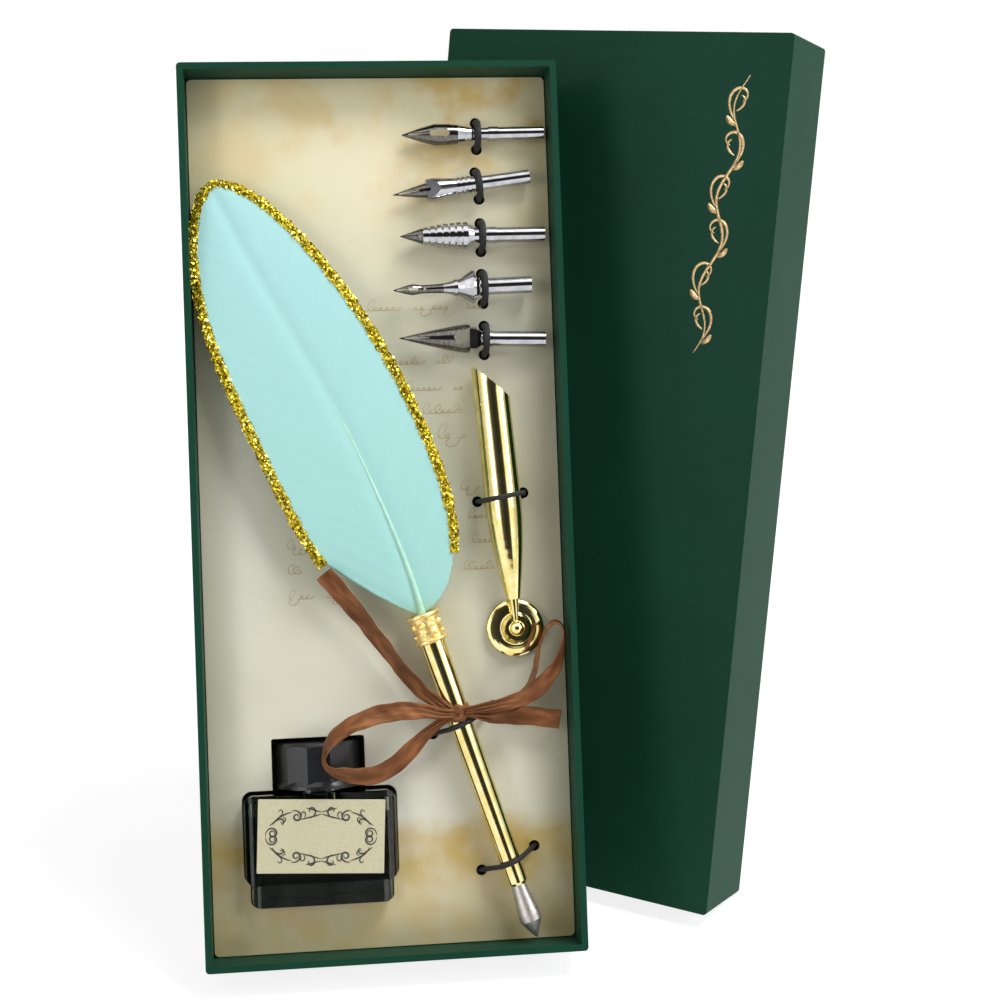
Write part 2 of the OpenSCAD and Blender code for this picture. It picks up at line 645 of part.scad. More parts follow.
module stand_tube() {
    outer = [for (s = [stem_end : 3.1 : 40]) [tube_rad(s), s]];
    socket_from = tube_l - mouth_slant - socket_l;
    color("#d9b64a") along_tube() difference() {
        rotate_extrude($fn = 64) polygon(concat([[0, stem_end + ball_fit], [tube_rad(stem_end), stem_end + ball_fit]],
            [for (k = [1 : len(outer) - 1]) outer[k]], [[tube_rad(tube_l), tube_l], [0, tube_l]]));
        cylinder(r = spigot_r + ball_fit, h = stem_end + spigot_l + 0.3, $fn = 48);
        translate([0, 0, socket_from]) cylinder(r = tube_rad(tube_l) - tube_wall, h = tube_l, $fn = 64);
        translate([-tube_r, 0, tube_l]) rotate([0, atan2(mouth_slant, 2 * tube_r), 0])
            translate([-1, -10, 0]) cube([40, 20, 30]);
    }
}

// Ball stud: the ball, its stem, and the spigot that the tube turns on
module stand_ball() {
    color("#e0c05a") along_tube() {
        sphere(r = ball_r, $fn = 64);
        rotate_extrude($fn = 48) polygon([[0, 0], [stem_r1, 0], [stem_r1, ball_r], [stem_r2, stem_end],
            [spigot_r, stem_end], [spigot_r, stem_end + spigot_l], [0, stem_end + spigot_l]]);
    }
}

base_top = stand_z - card_z - seat - felt_t;

module stand_felt() {
    color("#1f1f1f") on_stand() translate([0, 0, -stand_z + card_z + seat]) cylinder(r = base_r - 0.4, h = felt_t, $fn = 64);
}

module stand_base() {
    rim = 1;
    dome = 2.3;
    well = 4.1;
    color("#d9b64a") on_stand() translate([0, 0, -base_top]) difference() {
        rotate_extrude($fn = 96) polygon(concat([[0, 0], [base_r - 0.3, 0], [base_r, 0.3], [base_r, rim]],
            [for (a = [10 : 10 : 90]) [well + (base_r - well) * cos(a), rim + (dome - rim) * sin(a)]], [[0, dome]]));
        translate([0, 0, base_top]) sphere(r = ball_r + 0.3, $fn = 64);
    }
}

// Bell-shaped socket that keeps the ball, with a slot for the stem when the tube lies down
module stand_collar() {
    lip = 0.6;
    ring_r = 3.9;
    flare = 1.3;
    foot = -base_top + 2.3;
    bell = [for (a = [0 : 15 : 90]) [ring_r + flare * (1 - sin(a)), foot + 0.4 + (lip - 0.7 - foot) * (1 - cos(a))]];
    color("#e0c05a") on_stand() difference() {
        rotate_extrude($fn = 64) polygon(concat([[0, foot], [ring_r + flare, foot]], bell,
            [[ring_r, lip - 0.3], [ring_r - 0.3, lip], [0, lip]]));
        sphere(r = ball_r + ball_fit, $fn = 64);
        translate([-1.35, 0, -1.3]) cube([2.7, 10, 10]);
    }
}

// Spare nibs, drawn along +z from the tip, with y out of the tray

module on_spare(i) {
    on_tray() translate([spare[i][0], spare[i][1], spare_z(i)]) rotate([0, 0, spare[i][2]]) rotate([90, 0, 90]) children();
}

// Sheet shell of revolution over profile points [place, radius], open below
module spare_shell(profile, open_below) {
    outer = [for (p = profile) [p[1], p[0]]];
    inner = [for (k = [len(profile) - 1 : -1 : 0]) [max(0.02, profile[k][1] - steel_t * 1.2), profile[k][0] + (k == 0 ? 0.8 : 0)]];
    difference() {
        rotate_extrude($fn = 48) polygon(concat(outer, inner));
        translate([-10, -20 - open_below, -1]) cube([20, 20, 60]);
    }
}

// Tube that plugs on a pen, with its seam below
module spare_tube(i, from) {
    r = spare[i][5];
    difference() {
        translate([0, 0, from]) cylinder(r = r, h = spare[i][6] - from, $fn = 48);
        translate([0, 0, from + 2]) cylinder(r = r - 0.4, h = 60, $fn = 48);
        translate([-0.2, -r - 1, from + 2]) cube([0.4, r, 60]);
    }
}

module ring(r1, r2, from, to) {
    translate([0, 0, from]) cylinder(r1 = r1, r2 = r2, h = to - from, $fn = 48);
}

module vent(from, to, r) {
    for (z = [from + r, to - r]) translate([0, 0, z]) rotate([-90, 0, 0]) cylinder(r = r, h = 8, $fn = 24);
    translate([-r, 0, from + r]) cube([2 * r, 8, to - from - 2 * r]);
}

module slit(to) {
    translate([-0.12, 0, -1]) cube([0.24, 8, to + 1]);
}

module spare_point_1() {
    color("#5d5c5c") on_spare(0) difference() {
        spare_shell([[0, 0.15], [5.4, 2], [10.1, 3.3], [14, 3.2], [spare_root[0], 2.9]], 0.4);
        vent(8.4, 14.6, 0.95);
        slit(8.6);
    }
}

module spare_shank_1() {
    color("#c4c4c6") on_spare(0) {
        ring(2.9, 1.95, spare_root[0], 22);
        ring(1.95, 1.95, 22, 26.7);
        ring(spare[0][5] + boss_r, spare[0][5] + boss_r, 26.7, 29.7);
        spare_tube(0, 29.7);
    }
}

module spare_point_2() {
    color("#5d5c5c") on_spare(1) difference() {
        spare_shell([[0, 0.12], [6, 1.5], [10.2, 2.3], [spare_root[1], 2.4]], 0.2);
        slit(8);
    }
}

// Spoon that holds the point, then three rings and a collar
module spare_shank_2() {
    color("#c4c4c6") on_spare(1) {
        difference() {
            union() {
                ring(3.4, 3.6, 10.4, 12.4);
                ring(3.6, 2.6, 12.4, 19.6);
            }
            translate([0, 0, 9]) cylinder(r = 2.45, h = spare_root[1] - 9 + 0.05, $fn = 48);
            translate([-5, 1.7, 9]) rotate([-16, 0, 0]) cube([10, 8, 9]);
            translate([-5, -9.5, 9]) cube([10, 8, 4]);
        }
        ring(2.35, 2.35, 19.6, 24.7);
        for (k = [0 : 2]) ring(2.75, 2.75, 19.9 + 1.6 * k, 20.9 + 1.6 * k);
        ring(spare[1][5] + boss_r, spare[1][5] + boss_r, 24.7, 28);
        spare_tube(1, 28);
    }
}

module spare_point_3() {
    color("#3a3a3b") on_spare(2) difference() {
        ring(0.12, 2.5, 0, spare_root[2]);
        slit(5.5);
    }
}

// Ribbed grip that swells to the collar
module spare_shank_3() {
    ribs = 7;
    pitch = 2;
    start = spare_root[2];
    color("#c4c4c6") on_spare(2) {
        ring(2.3, 3.3, start, start + ribs * pitch);
        for (k = [0 : ribs - 1]) {
            swell = 2.5 + 1.65 * sin(90 * (k + 0.6) / (ribs - 0.4));
            translate([0, 0, start + pitch * (k + 0.5)]) {
                translate([0, 0, -0.7]) cylinder(r = swell, h = 1.4, $fn = 48);
            }
        }
        ring(3.6, 2.9, start + ribs * pitch, 22.6);
        ring(2.4, 2.4, 22.6, 27);
        ring(spare[2][5] + boss_r, spare[2][5] + boss_r, 26.8, 29.7);
        spare_tube(2, 29.7);
    }
}

module spare_point_4() {
    color("#5d5c5c") on_spare(3) difference() {
        spare_shell([[0, 0.12], [3.5, 1.2], [6, 1.75], [8.6, 1.3], [11, 1.3], [spare_root[3], 1.5]], 0.1);
        vent(4.6, 7.6, 0.45);
        translate([0, 0, 9.6]) rotate([-90, 0, 0]) cylinder(r = 0.4, h = 8, $fn = 24);
        slit(5);
    }
}

// Stepped trumpet
module spare_shank_4() {
    color("#c4c4c6") on_spare(3) {
        ring(1.5, 2.2, spare_root[3], 18.6);
        ring(2.45, 2.6, 18.6, 19.8);
        ring(2.3, 3.2, 19.8, 21.6);
        ring(3.5, 5.2, 21.6, 24.4);
        ring(5.2, 4.8, 24.4, 25.2);
        ring(3, 2.4, 25.2, 26.6);
        ring(spare[3][5] + boss_r, spare[3][5] + boss_r, 26.6, 29.4);
        spare_tube(3, 29.4);
    }
}

// Folded spear with a notch cut into its root
module spare_point_5() {
    color("#4a494a") on_spare(4) difference() {
        spare_shell([[0, 0.12], [10, 2.5], [18, 4.1], [20.4, 4.4], [spare_root[4], 4.3]], 0.2);
        slit(9);
        for (s = [1, -1]) translate([0, 0, 16.4]) rotate([0, s * 32, 0]) translate([s > 0 ? -3 : 0, 0, 0]) cube([3, 8, 12]);
    }
}

module spare_shank_5() {
    color("#c4c4c6") on_spare(4) {
        difference() {
            ring(3.6, 3.5, spare_root[4], 23.6);
            translate([-6, 2.2, 20]) cube([12, 5, 5]);
        }
        ring(3.2, 2.1, 23.6, 25.2);
        ring(2.1, 2.1, 25.2, 27.2);
        ring(spare[4][5] + boss_r, spare[4][5] + boss_r, 27.2, 28.6);
        spare_tube(4, 28.6);
    }
}

tray_board();
tray_wrap();
lid_board();
lid_wrap();
insert_card();
tie(0);  // nib_tie_1
tie(1);  // nib_tie_2
tie(2);  // nib_tie_3
tie(3);  // nib_tie_4
tie(4);  // nib_tie_5
tie(5);  // stand_tie
tie(6);  // pen_tie_upper
tie(7);  // pen_tie_lower
bottle_glass();
ink();
bottle_label();
bottle_cap();
cap_liner();
pen_barrel();
pen_ferrule();
nib_plug();
pen_nib();
feather_shaft();
feather_vane();
glitter_edge();
ribbon_knot();
ribbon(route_loop_left);  // ribbon_loop_left
ribbon(route_loop_right);  // ribbon_loop_right
ribbon(route_tail_left);  // ribbon_tail_left
ribbon(route_tail_right);  // ribbon_tail_right
stand_felt();
stand_base();
stand_collar();
stand_ball();
stand_tube();
spare_point_1();
spare_shank_1();
spare_point_2();
spare_shank_2();
spare_point_3();
spare_shank_3();
spare_point_4();
spare_shank_4();
spare_point_5();
spare_shank_5();
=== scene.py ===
# Quill pen gift set in a green board box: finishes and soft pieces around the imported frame
import math
import bpy
import bmesh
import numpy as np
from mathutils import Matrix


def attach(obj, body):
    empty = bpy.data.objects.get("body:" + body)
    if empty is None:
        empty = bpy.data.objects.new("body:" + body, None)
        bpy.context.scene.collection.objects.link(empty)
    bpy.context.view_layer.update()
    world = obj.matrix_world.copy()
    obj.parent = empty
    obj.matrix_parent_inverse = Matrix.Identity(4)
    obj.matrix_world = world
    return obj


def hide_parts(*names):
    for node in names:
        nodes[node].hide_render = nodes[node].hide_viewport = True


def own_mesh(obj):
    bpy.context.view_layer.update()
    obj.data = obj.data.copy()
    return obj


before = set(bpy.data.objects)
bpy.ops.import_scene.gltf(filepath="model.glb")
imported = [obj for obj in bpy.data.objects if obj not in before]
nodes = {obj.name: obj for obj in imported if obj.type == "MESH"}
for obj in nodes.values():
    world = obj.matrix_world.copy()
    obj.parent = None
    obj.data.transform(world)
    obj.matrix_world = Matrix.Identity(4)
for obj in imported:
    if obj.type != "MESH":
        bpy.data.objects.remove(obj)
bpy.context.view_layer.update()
print("frame loaded:", len(nodes), "nodes")

# everything is worked out lying flat in the tray or on the lid, in mm and degrees, and then stood up
stance = {"trayLean": 17.0, "lidLean": 10.5, "lidYaw": 35.0,
          "lidFoot": (67.35724, 51.38953), "middle": (43.98003, 47.79812)}
seamGap = 1e-6  # metres: points nearer than this are one where a seam closes


def standUp(flat, lean):
    # x stays, y runs up the leaning board, z comes out of it
    a = math.radians(lean)
    x, y, z = flat[..., 0], flat[..., 1], flat[..., 2]
    return np.stack([x, y * math.sin(a) - z * math.cos(a), y * math.cos(a) + z * math.sin(a)], -1)


def onTray(flat):
    m = stance["middle"]
    return (standUp(np.asarray(flat, float), stance["trayLean"]) - (m[0], m[1], 0)) / 1000


def onLid(flat):
    # stood up, turned by the lid's yaw and moved to the lid's foot
    m, foot, a = stance["middle"], stance["lidFoot"], math.radians(-stance["lidYaw"])
    p = standUp(np.asarray(flat, float), stance["lidLean"])
    x = p[..., 0] * math.cos(a) - p[..., 1] * math.sin(a) + foot[0] - m[0]
    y = p[..., 0] * math.sin(a) + p[..., 1] * math.cos(a) + foot[1] - m[1]
    return np.stack([x, y, p[..., 2]], -1) / 1000


def makeMesh(name, points, faces, uv=None, material=None, smooth=True, tidy=False):
    mesh = bpy.data.meshes.new(name)
    mesh.from_pydata(np.asarray(points, float).reshape(-1, 3).tolist(), [], [list(f) for f in faces])
    if uv is not None:
        layer = mesh.uv_layers.new(name="pattern")
        corner = np.empty(len(mesh.loops), np.int32)
        mesh.loops.foreach_get("vertex_index", corner)
        layer.data.foreach_set("uv", np.asarray(uv, float).reshape(-1, 2)[corner].ravel())
    if tidy:  # closes seams and turns every face outwards
        work = bmesh.new()
        work.from_mesh(mesh)
        bmesh.ops.remove_doubles(work, verts=work.verts, dist=seamGap)
        bmesh.ops.recalc_face_normals(work, faces=work.faces)
        work.to_mesh(mesh)
        work.free()
    mesh.polygons.foreach_set("use_smooth", np.full(len(mesh.polygons), smooth))
    piece = bpy.data.objects.new(name, mesh)
    bpy.context.scene.collection.objects.link(piece)
    if material:
        mesh.materials.append(material)
    return piece


def thicken(piece, thickness, offset=0):
    # gives a sheet its thickness in mm, to both sides or, with offset 1, outwards
    solid = piece.modifiers.new("thickness", "SOLIDIFY")
    solid.thickness = thickness / 1000
    solid.offset = offset


def gridFaces(rows, cols, wrapRows=False, wrapCols=False):
    # quads between neighbours of a rows x cols grid of points
    r = np.arange(rows if wrapRows else rows - 1)[:, None]
    c = np.arange(cols if wrapCols else cols - 1)[None, :]
    r2, c2 = (r + 1) % rows, (c + 1) % cols
    return np.stack([r * cols + c, r * cols + c2, r2 * cols + c2, r2 * cols + c], -1).reshape(-1, 4)


def curveThrough(points, steps):
    # smooth curve through the points: each stretch is a cubic that leans along its neighbours
    p = np.asarray(points, float)
    padded = np.vstack([p[:1], p, p[-1:]])
    u = np.linspace(0, 1, steps, endpoint=False)[None, :, None]
    a, b, c, d = (padded[k:len(p) - 1 + k][:, None] for k in range(4))
    curve = 0.5 * (2 * b + (c - a) * u + (2 * a - 5 * b + 4 * c - d) * u ** 2 + (3 * b - 3 * c + d - a) * u ** 3)
    return np.vstack([curve.reshape(-1, p.shape[1]), p[-1:]])


def unitRows(v):
    return v / np.maximum(np.linalg.norm(v, axis=-1, keepdims=True), 1e-9)


def runningLength(path):
    return np.concatenate([[0], np.cumsum(np.linalg.norm(np.diff(path, axis=0), axis=1))])


def pathFrames(path):
    # along, level side and upper side at each point of a path lying in the tray
    along = unitRows(np.gradient(path, axis=0))
    side = unitRows(np.cross(along, (0, 0, 1.0)))
    return along, side, np.cross(side, along)


def roundTube(path, radius, sides):
    # circle of the given radius carried along the path, closed at both ends by a fan
    side, up = pathFrames(path)[1:]
    a = np.linspace(0, 2 * math.pi, sides, endpoint=False)
    r = np.broadcast_to(np.asarray(radius, float), len(path))[:, None, None]
    ring = path[:, None] + r * (side[:, None] * np.cos(a)[None, :, None] + up[:, None] * np.sin(a)[None, :, None])
    length = runningLength(path)
    uv = np.stack(np.broadcast_arrays(length[:, None], a[None] * r[:, :, 0]), -1)
    n = len(path)
    points = np.vstack([ring.reshape(-1, 3), path[:1], path[-1:]])
    k = np.arange(sides)
    after, last = (k + 1) % sides, (n - 1) * sides
    faces = gridFaces(n, sides, wrapCols=True).tolist()
    faces += np.stack([np.full(sides, n * sides), k, after], -1).tolist()
    faces += np.stack([np.full(sides, n * sides + 1), last + after, last + k], -1).tolist()
    return points, faces, np.vstack([uv.reshape(-1, 2), [[0, 0], [length[-1], 0]]])


def hexColor(text):
    # sRGB hex to linear, opaque
    s = np.array([int(text[i:i + 2], 16) for i in (1, 3, 5)]) / 255
    linear = np.where(s <= 0.04045, s / 12.92, ((s + 0.055) / 1.055) ** 2.4)
    return (*linear.tolist(), 1.0)


def addNode(tree, kind, values=None, out=0, stops=(), **settings):
    # sets a node's settings, its values or links, and a ramp's stops; gives one output, or all for None
    node = tree.nodes.new("ShaderNode" + kind)
    for key, value in settings.items():
        setattr(node, key, value)
    for key, value in (values or {}).items():
        if isinstance(value, bpy.types.NodeSocket):
            tree.links.new(value, node.inputs[key])
        else:
            node.inputs[key].default_value = value
    while stops and len(node.color_ramp.elements) < len(stops):
        node.color_ramp.elements.new(0.5)
    for k, (position, color) in enumerate(stops):
        element = node.color_ramp.elements[k]
        element.position = position
        element.color = hexColor(color) if isinstance(color, str) else (color, color, color, 1)
    return node.outputs if out is None else node.outputs[out]


def newMaterial(name, **shader):
    material = bpy.data.materials.new(name)
    material.use_nodes = True
    surface = material.node_tree.nodes["Principled BSDF"]
    for key, value in shader.items():
        surface.inputs[key.replace("_", " ")].default_value = value
    return material, material.node_tree, surface


def dress(tree, surface, color, relief=None, strength=0.0, depth=0.2):
    # joins a pattern of colour to the surface, and one of relief, its depth in mm
    tree.links.new(color, surface.inputs["Base Color"])
    if relief is not None:
        bump = addNode(tree, "Bump", {"Height": relief, "Strength": strength, "Distance": depth / 1000}, "Normal")
        tree.links.new(bump, surface.inputs["Normal"])


def millimetres(tree):
    place = addNode(tree, "TexCoord", out="Object")
    return addNode(tree, "Mapping", {"Vector": place, "Scale": (1000, 1000, 1000)}, "Vector")


def trayMillimetres(tree):
    # Object coordinates turned back into the flat tray
    a, m = math.radians(stance["trayLean"]), stance["middle"]
    return addNode(tree, "Mapping", {
        "Vector": addNode(tree, "TexCoord", out="Object"), "Scale": (1000, 1000, 1000),
        "Rotation": (-math.radians(90 - stance["trayLean"]), 0, 0),
        "Location": (m[0], m[1] * math.sin(a), -m[1] * math.cos(a))}, "Vector")


def alongThreads(tree, uv, across, detail):
    # noise on the UV map in mm, drawn out along it: its scale along and across
    stretched = addNode(tree, "Mapping", {"Vector": uv, "Scale": (*across, 1)}, "Vector")
    return addNode(tree, "TexNoise", {"Vector": stretched, "Scale": 1.0, "Detail": detail}, "Fac")


# Embossed leatherette paper, printed dark green: satin with a fine pebbled grain (drawn at 0.9 mm to show)
def embossedPaper():
    m, t, s = newMaterial("embossedGreenPaper", Roughness=0.5, IOR=1.5, Specular_IOR_Level=0.09)
    mm = millimetres(t)
    cloud = addNode(t, "TexNoise", {"Vector": mm, "Scale": 0.02, "Detail": 3.0, "Roughness": 0.6}, "Fac")
    dye = addNode(t, "ValToRGB", {"Fac": cloud}, "Color", [(0.3, "#123c2b"), (0.7, "#164333")])
    pebble = addNode(t, "TexVoronoi", {"Vector": mm, "Scale": 1.1}, "Distance", feature="SMOOTH_F1")
    fibre = addNode(t, "TexNoise", {"Vector": mm, "Scale": 2.6, "Detail": 2.0}, "Fac")
    grain = addNode(t, "Math", {0: pebble, 1: 0.5, 2: fibre}, operation="MULTIPLY_ADD")
    dress(t, s, dye, grain, 0.16)
    t.links.new(addNode(t, "Math", {0: fibre, 1: 0.16, 2: 0.42}, operation="MULTIPLY_ADD"), s.inputs["Roughness"])
    return m


# Raw greyboard: pulpy grey with flecks
def greyboard():
    m, t, s = newMaterial("rawGreyboard", Roughness=0.9)
    fleck = addNode(t, "TexNoise", {"Vector": millimetres(t), "Scale": 1.5, "Detail": 4.0}, "Fac")
    dress(t, s, addNode(t, "ValToRGB", {"Fac": fleck}, "Color", [(0.3, "#7d786f"), (0.7, "#9b958a")]))
    return m


# Offset-printed cardstock: aged parchment, an ochre wash along its foot and golden blots at its head, with painted
# shade along the tray's walls
def printedCard():
    m, t, s = newMaterial("printedCardstock", Roughness=0.6)
    mm = trayMillimetres(t)
    x, y = [addNode(t, "SeparateXYZ", {"Vector": mm}, axis) for axis in "XY"]
    clouds = (("pulp", 0.02, 3.0), ("drip", 0.05, 3.0), ("speck", 0.09, 4.0), ("blot", 0.06, 3.0), ("rub", 0.08, 3.0),
              ("tooth", 3.0, 2.0))  # scale per mm, detail
    field = {name: addNode(t, "TexNoise", {"Vector": mm, "Scale": scale, "Detail": detail}, "Fac")
             for name, scale, detail in clouds}
    # the wash has a soft uneven front 42 mm up
    field["front"] = addNode(t, "Math", {0: field["drip"], 1: 22.0, 2: y}, operation="MULTIPLY_ADD")
    # each zone rises smoothly from 0 to 1 between two places in mm, or between two levels of a cloud
    zones = (("head", y, 185.0, 268.0), ("washed", field["front"], 54.0, 44.0), ("aboveFoot", y, 14.0, 34.0),
             ("speckZone", field["speck"], 0.3, 0.64), ("blotZone", field["blot"], 0.45, 0.66),
             ("blotBand", y, 205.0, 262.0), ("rightward", x, -40.0, 40.0), ("rubZone", field["rub"], 0.48, 0.66),
             ("rubBand", y, 34.0, 14.0), ("upper", y, 100.0, 180.0), ("rightEdge", x, 38.0, 56.0),
             ("leftEdge", x, -42.0, -57.0), ("footEdge", y, 20.0, 2.0))
    for name, value, low, high in zones:
        field[name] = addNode(t, "MapRange", {"Value": value, "From Min": low, "From Max": high},
                              interpolation_type="SMOOTHSTEP")
    # each line makes one more pattern out of those before it
    steps = (("warm", "MULTIPLY", "head", 0.65),
             ("strength", "MULTIPLY_ADD", "aboveFoot", 0.34, 0.66), ("wash", "MULTIPLY", "washed", "strength"),
             ("speckled", "MULTIPLY_ADD", "speckZone", 0.4, 0.5), ("foot", "MULTIPLY", "wash", "speckled"),
             ("blots", "MULTIPLY", "blotZone", "blotBand"), ("more", "MULTIPLY_ADD", "rightward", 0.45, 0.3),
             ("blotted", "MULTIPLY", "blots", "more"), ("rubs", "MULTIPLY", "rubZone", "rubBand"),
             ("rubbed", "MULTIPLY", "rubs", 0.5), ("most", "MAXIMUM", "foot", "blotted"),
             ("stain", "MAXIMUM", "most", "rubbed"),
             # painted shade: the card turns darker olive along the tray's right, left and foot walls, where their shade
             # falls
             ("rightWallShade", "MULTIPLY", "rightEdge", 0.5), ("leftWallShade", "MULTIPLY", "leftEdge", 0.45),
             ("footWallShade", "MULTIPLY", "footEdge", 0.45), ("sideWallShade", "MAXIMUM", "rightWallShade", "leftWallShade"),
             ("edge", "MAXIMUM", "sideWallShade", "footWallShade"))
    for name, operation, *terms in steps:
        values = {k: field[v] if isinstance(v, str) else v for k, v in enumerate(terms)}
        field[name] = addNode(t, "Math", values, operation=operation)
    ochre = addNode(t, "Mix", {"Factor": field["upper"], "A": hexColor("#c3a449"), "B": hexColor("#dcb356")},
                    "Result", data_type="RGBA")
    color = addNode(t, "ValToRGB", {"Fac": field["pulp"]}, "Color",
                    [(0.32, "#cfcdb2"), (0.5, "#dad8c3"), (0.68, "#e0dece")])
    # warmer towards the head, then stained, then darker along both sides and the foot, which is painted shade of the
    # tray's walls
    for factor, tint in (("warm", hexColor("#f6e8b4")), ("stain", ochre), ("edge", hexColor("#837b4e"))):
        color = addNode(t, "Mix", {"Factor": field[factor], "A": color, "B": tint}, "Result", data_type="RGBA")
    dress(t, s, color, field["tooth"], 0.06)
    return m


# Pressed soda-lime glass, faintly grey and a little uneven
def pressedGlass():
    m, t, s = newMaterial("pressedGlass", Roughness=0.02, IOR=1.5, Transmission_Weight=1.0)
    wave = addNode(t, "TexNoise", {"Vector": millimetres(t), "Scale": 0.12, "Detail": 1.0}, "Fac")
    dress(t, s, addNode(t, "ValToRGB", {"Fac": wave}, "Color", [(0.3, "#7f8883"), (0.7, "#a3aca6")]), wave, 0.25, 0.8)
    return m


# Plain solid finishes that need only a fine grain: name, colours, grain size per mm and strength, shader values
def grained(name, dark, light, scale, strength, **shader):
    m, t, s = newMaterial(name, **shader)
    grain = addNode(t, "TexNoise", {"Vector": millimetres(t), "Scale": scale, "Detail": 3.0}, "Fac")
    dress(t, s, addNode(t, "ValToRGB", {"Fac": grain}, "Color", [(0.35, dark), (0.65, light)]), grain, strength)
    return m


# Covered elastic: black threads wound across the cord, drawn every 0.7 mm
def coveredElastic():
    m, t, s = newMaterial("coveredElastic", Roughness=0.75)
    wave = addNode(t, "TexVoronoi", {"Vector": millimetres(t), "Scale": 1.6}, "Distance")
    dress(t, s, addNode(t, "ValToRGB", {"Fac": wave}, "Color", [(0.0, "#262626"), (0.7, "#0a0a0a")]), wave, 0.6, 0.3)
    return m


# Dyed feather: barbs side by side, paler where they part; UV is (barb, distance from the shaft) in mm
def dyedBarbs():
    m, t, s = newMaterial("dyedFeatherBarbs", Roughness=0.6, Sheen_Weight=0.25, Sheen_Roughness=0.4)
    uv = addNode(t, "TexCoord", out="UV")
    fine, broad = alongThreads(t, uv, (2.2, 0.05), 2.0), alongThreads(t, uv, (0.16, 0.02), 3.0)
    broadPart = addNode(t, "Math", {0: broad, 1: 0.55}, operation="MULTIPLY")
    tone = addNode(t, "Math", {0: fine, 1: 0.45, 2: broadPart}, operation="MULTIPLY_ADD")
    toneColor = addNode(t, "ValToRGB", {"Fac": tone}, "Color", [(0.32, "#a2d9d1"), (0.5, "#a5dbd5"), (0.68, "#a9ddd7")])
    # the dye is bluer towards the tip
    y = addNode(t, "SeparateXYZ", {"Vector": trayMillimetres(t)}, "Y")
    tip = addNode(t, "MapRange", {"Value": y, "From Min": 120.0, "From Max": 240.0, "To Min": 0.0, "To Max": 0.7})
    blued = addNode(t, "Mix", {"Factor": tip, "A": toneColor, "B": hexColor("#addee0")}, "Result", data_type="RGBA")
    dress(t, s, blued, fine, 0.07)
    return m


# Polyester satin: long threads along the ribbon, cross threads every 0.5 mm, and painted shade and sheen along its
# creases; UV is (along, across) in mm
def brownSatin():
    m, t, s = newMaterial("brownSatin", Roughness=0.38, Anisotropic=0.6, Specular_IOR_Level=0.6,
                          Specular_Tint=hexColor("#dcae88"))
    uv = addNode(t, "TexCoord", out="UV")
    threads = alongThreads(t, uv, (0.12, 4.5), 2.0)
    cross = addNode(t, "TexWave", {"Vector": uv, "Scale": 0.62, "Distortion": 0.4}, "Fac", bands_direction="X")
    # painted shade and sheen: the colour turns lighter and darker in long patches where the ribbon was creased,
    # standing in for how light falls on the folds; the thread noise mixed in is the satin's own tone
    folds = alongThreads(t, uv, (0.11, 0.3), 1.0)
    threadPart = addNode(t, "Math", {0: threads, 1: 0.4}, operation="MULTIPLY")
    tone = addNode(t, "Math", {0: folds, 1: 0.6, 2: threadPart}, operation="MULTIPLY_ADD")
    toneColor = addNode(t, "ValToRGB", {"Fac": tone}, "Color", [(0.36, "#522e1b"), (0.5, "#72462b"), (0.64, "#95623e")])
    weave = addNode(t, "Math", {0: cross, 1: 0.3, 2: threads}, operation="MULTIPLY_ADD")
    dress(t, s, toneColor, weave, 0.35)
    return m


# Cut polyester glitter: each flake has its own tone from the "tone" attribute
def goldGlitter():
    m, t, s = newMaterial("goldGlitterFlake", Metallic=0.8, Roughness=0.25)
    tone = addNode(t, "Attribute", out="Fac", attribute_name="tone")
    dress(t, s, addNode(t, "ValToRGB", {"Fac": tone}, "Color",
                        [(0.0, "#80700e"), (0.4, "#ccb420"), (0.75, "#f2dd46"), (1.0, "#fff8a0")]))
    return m


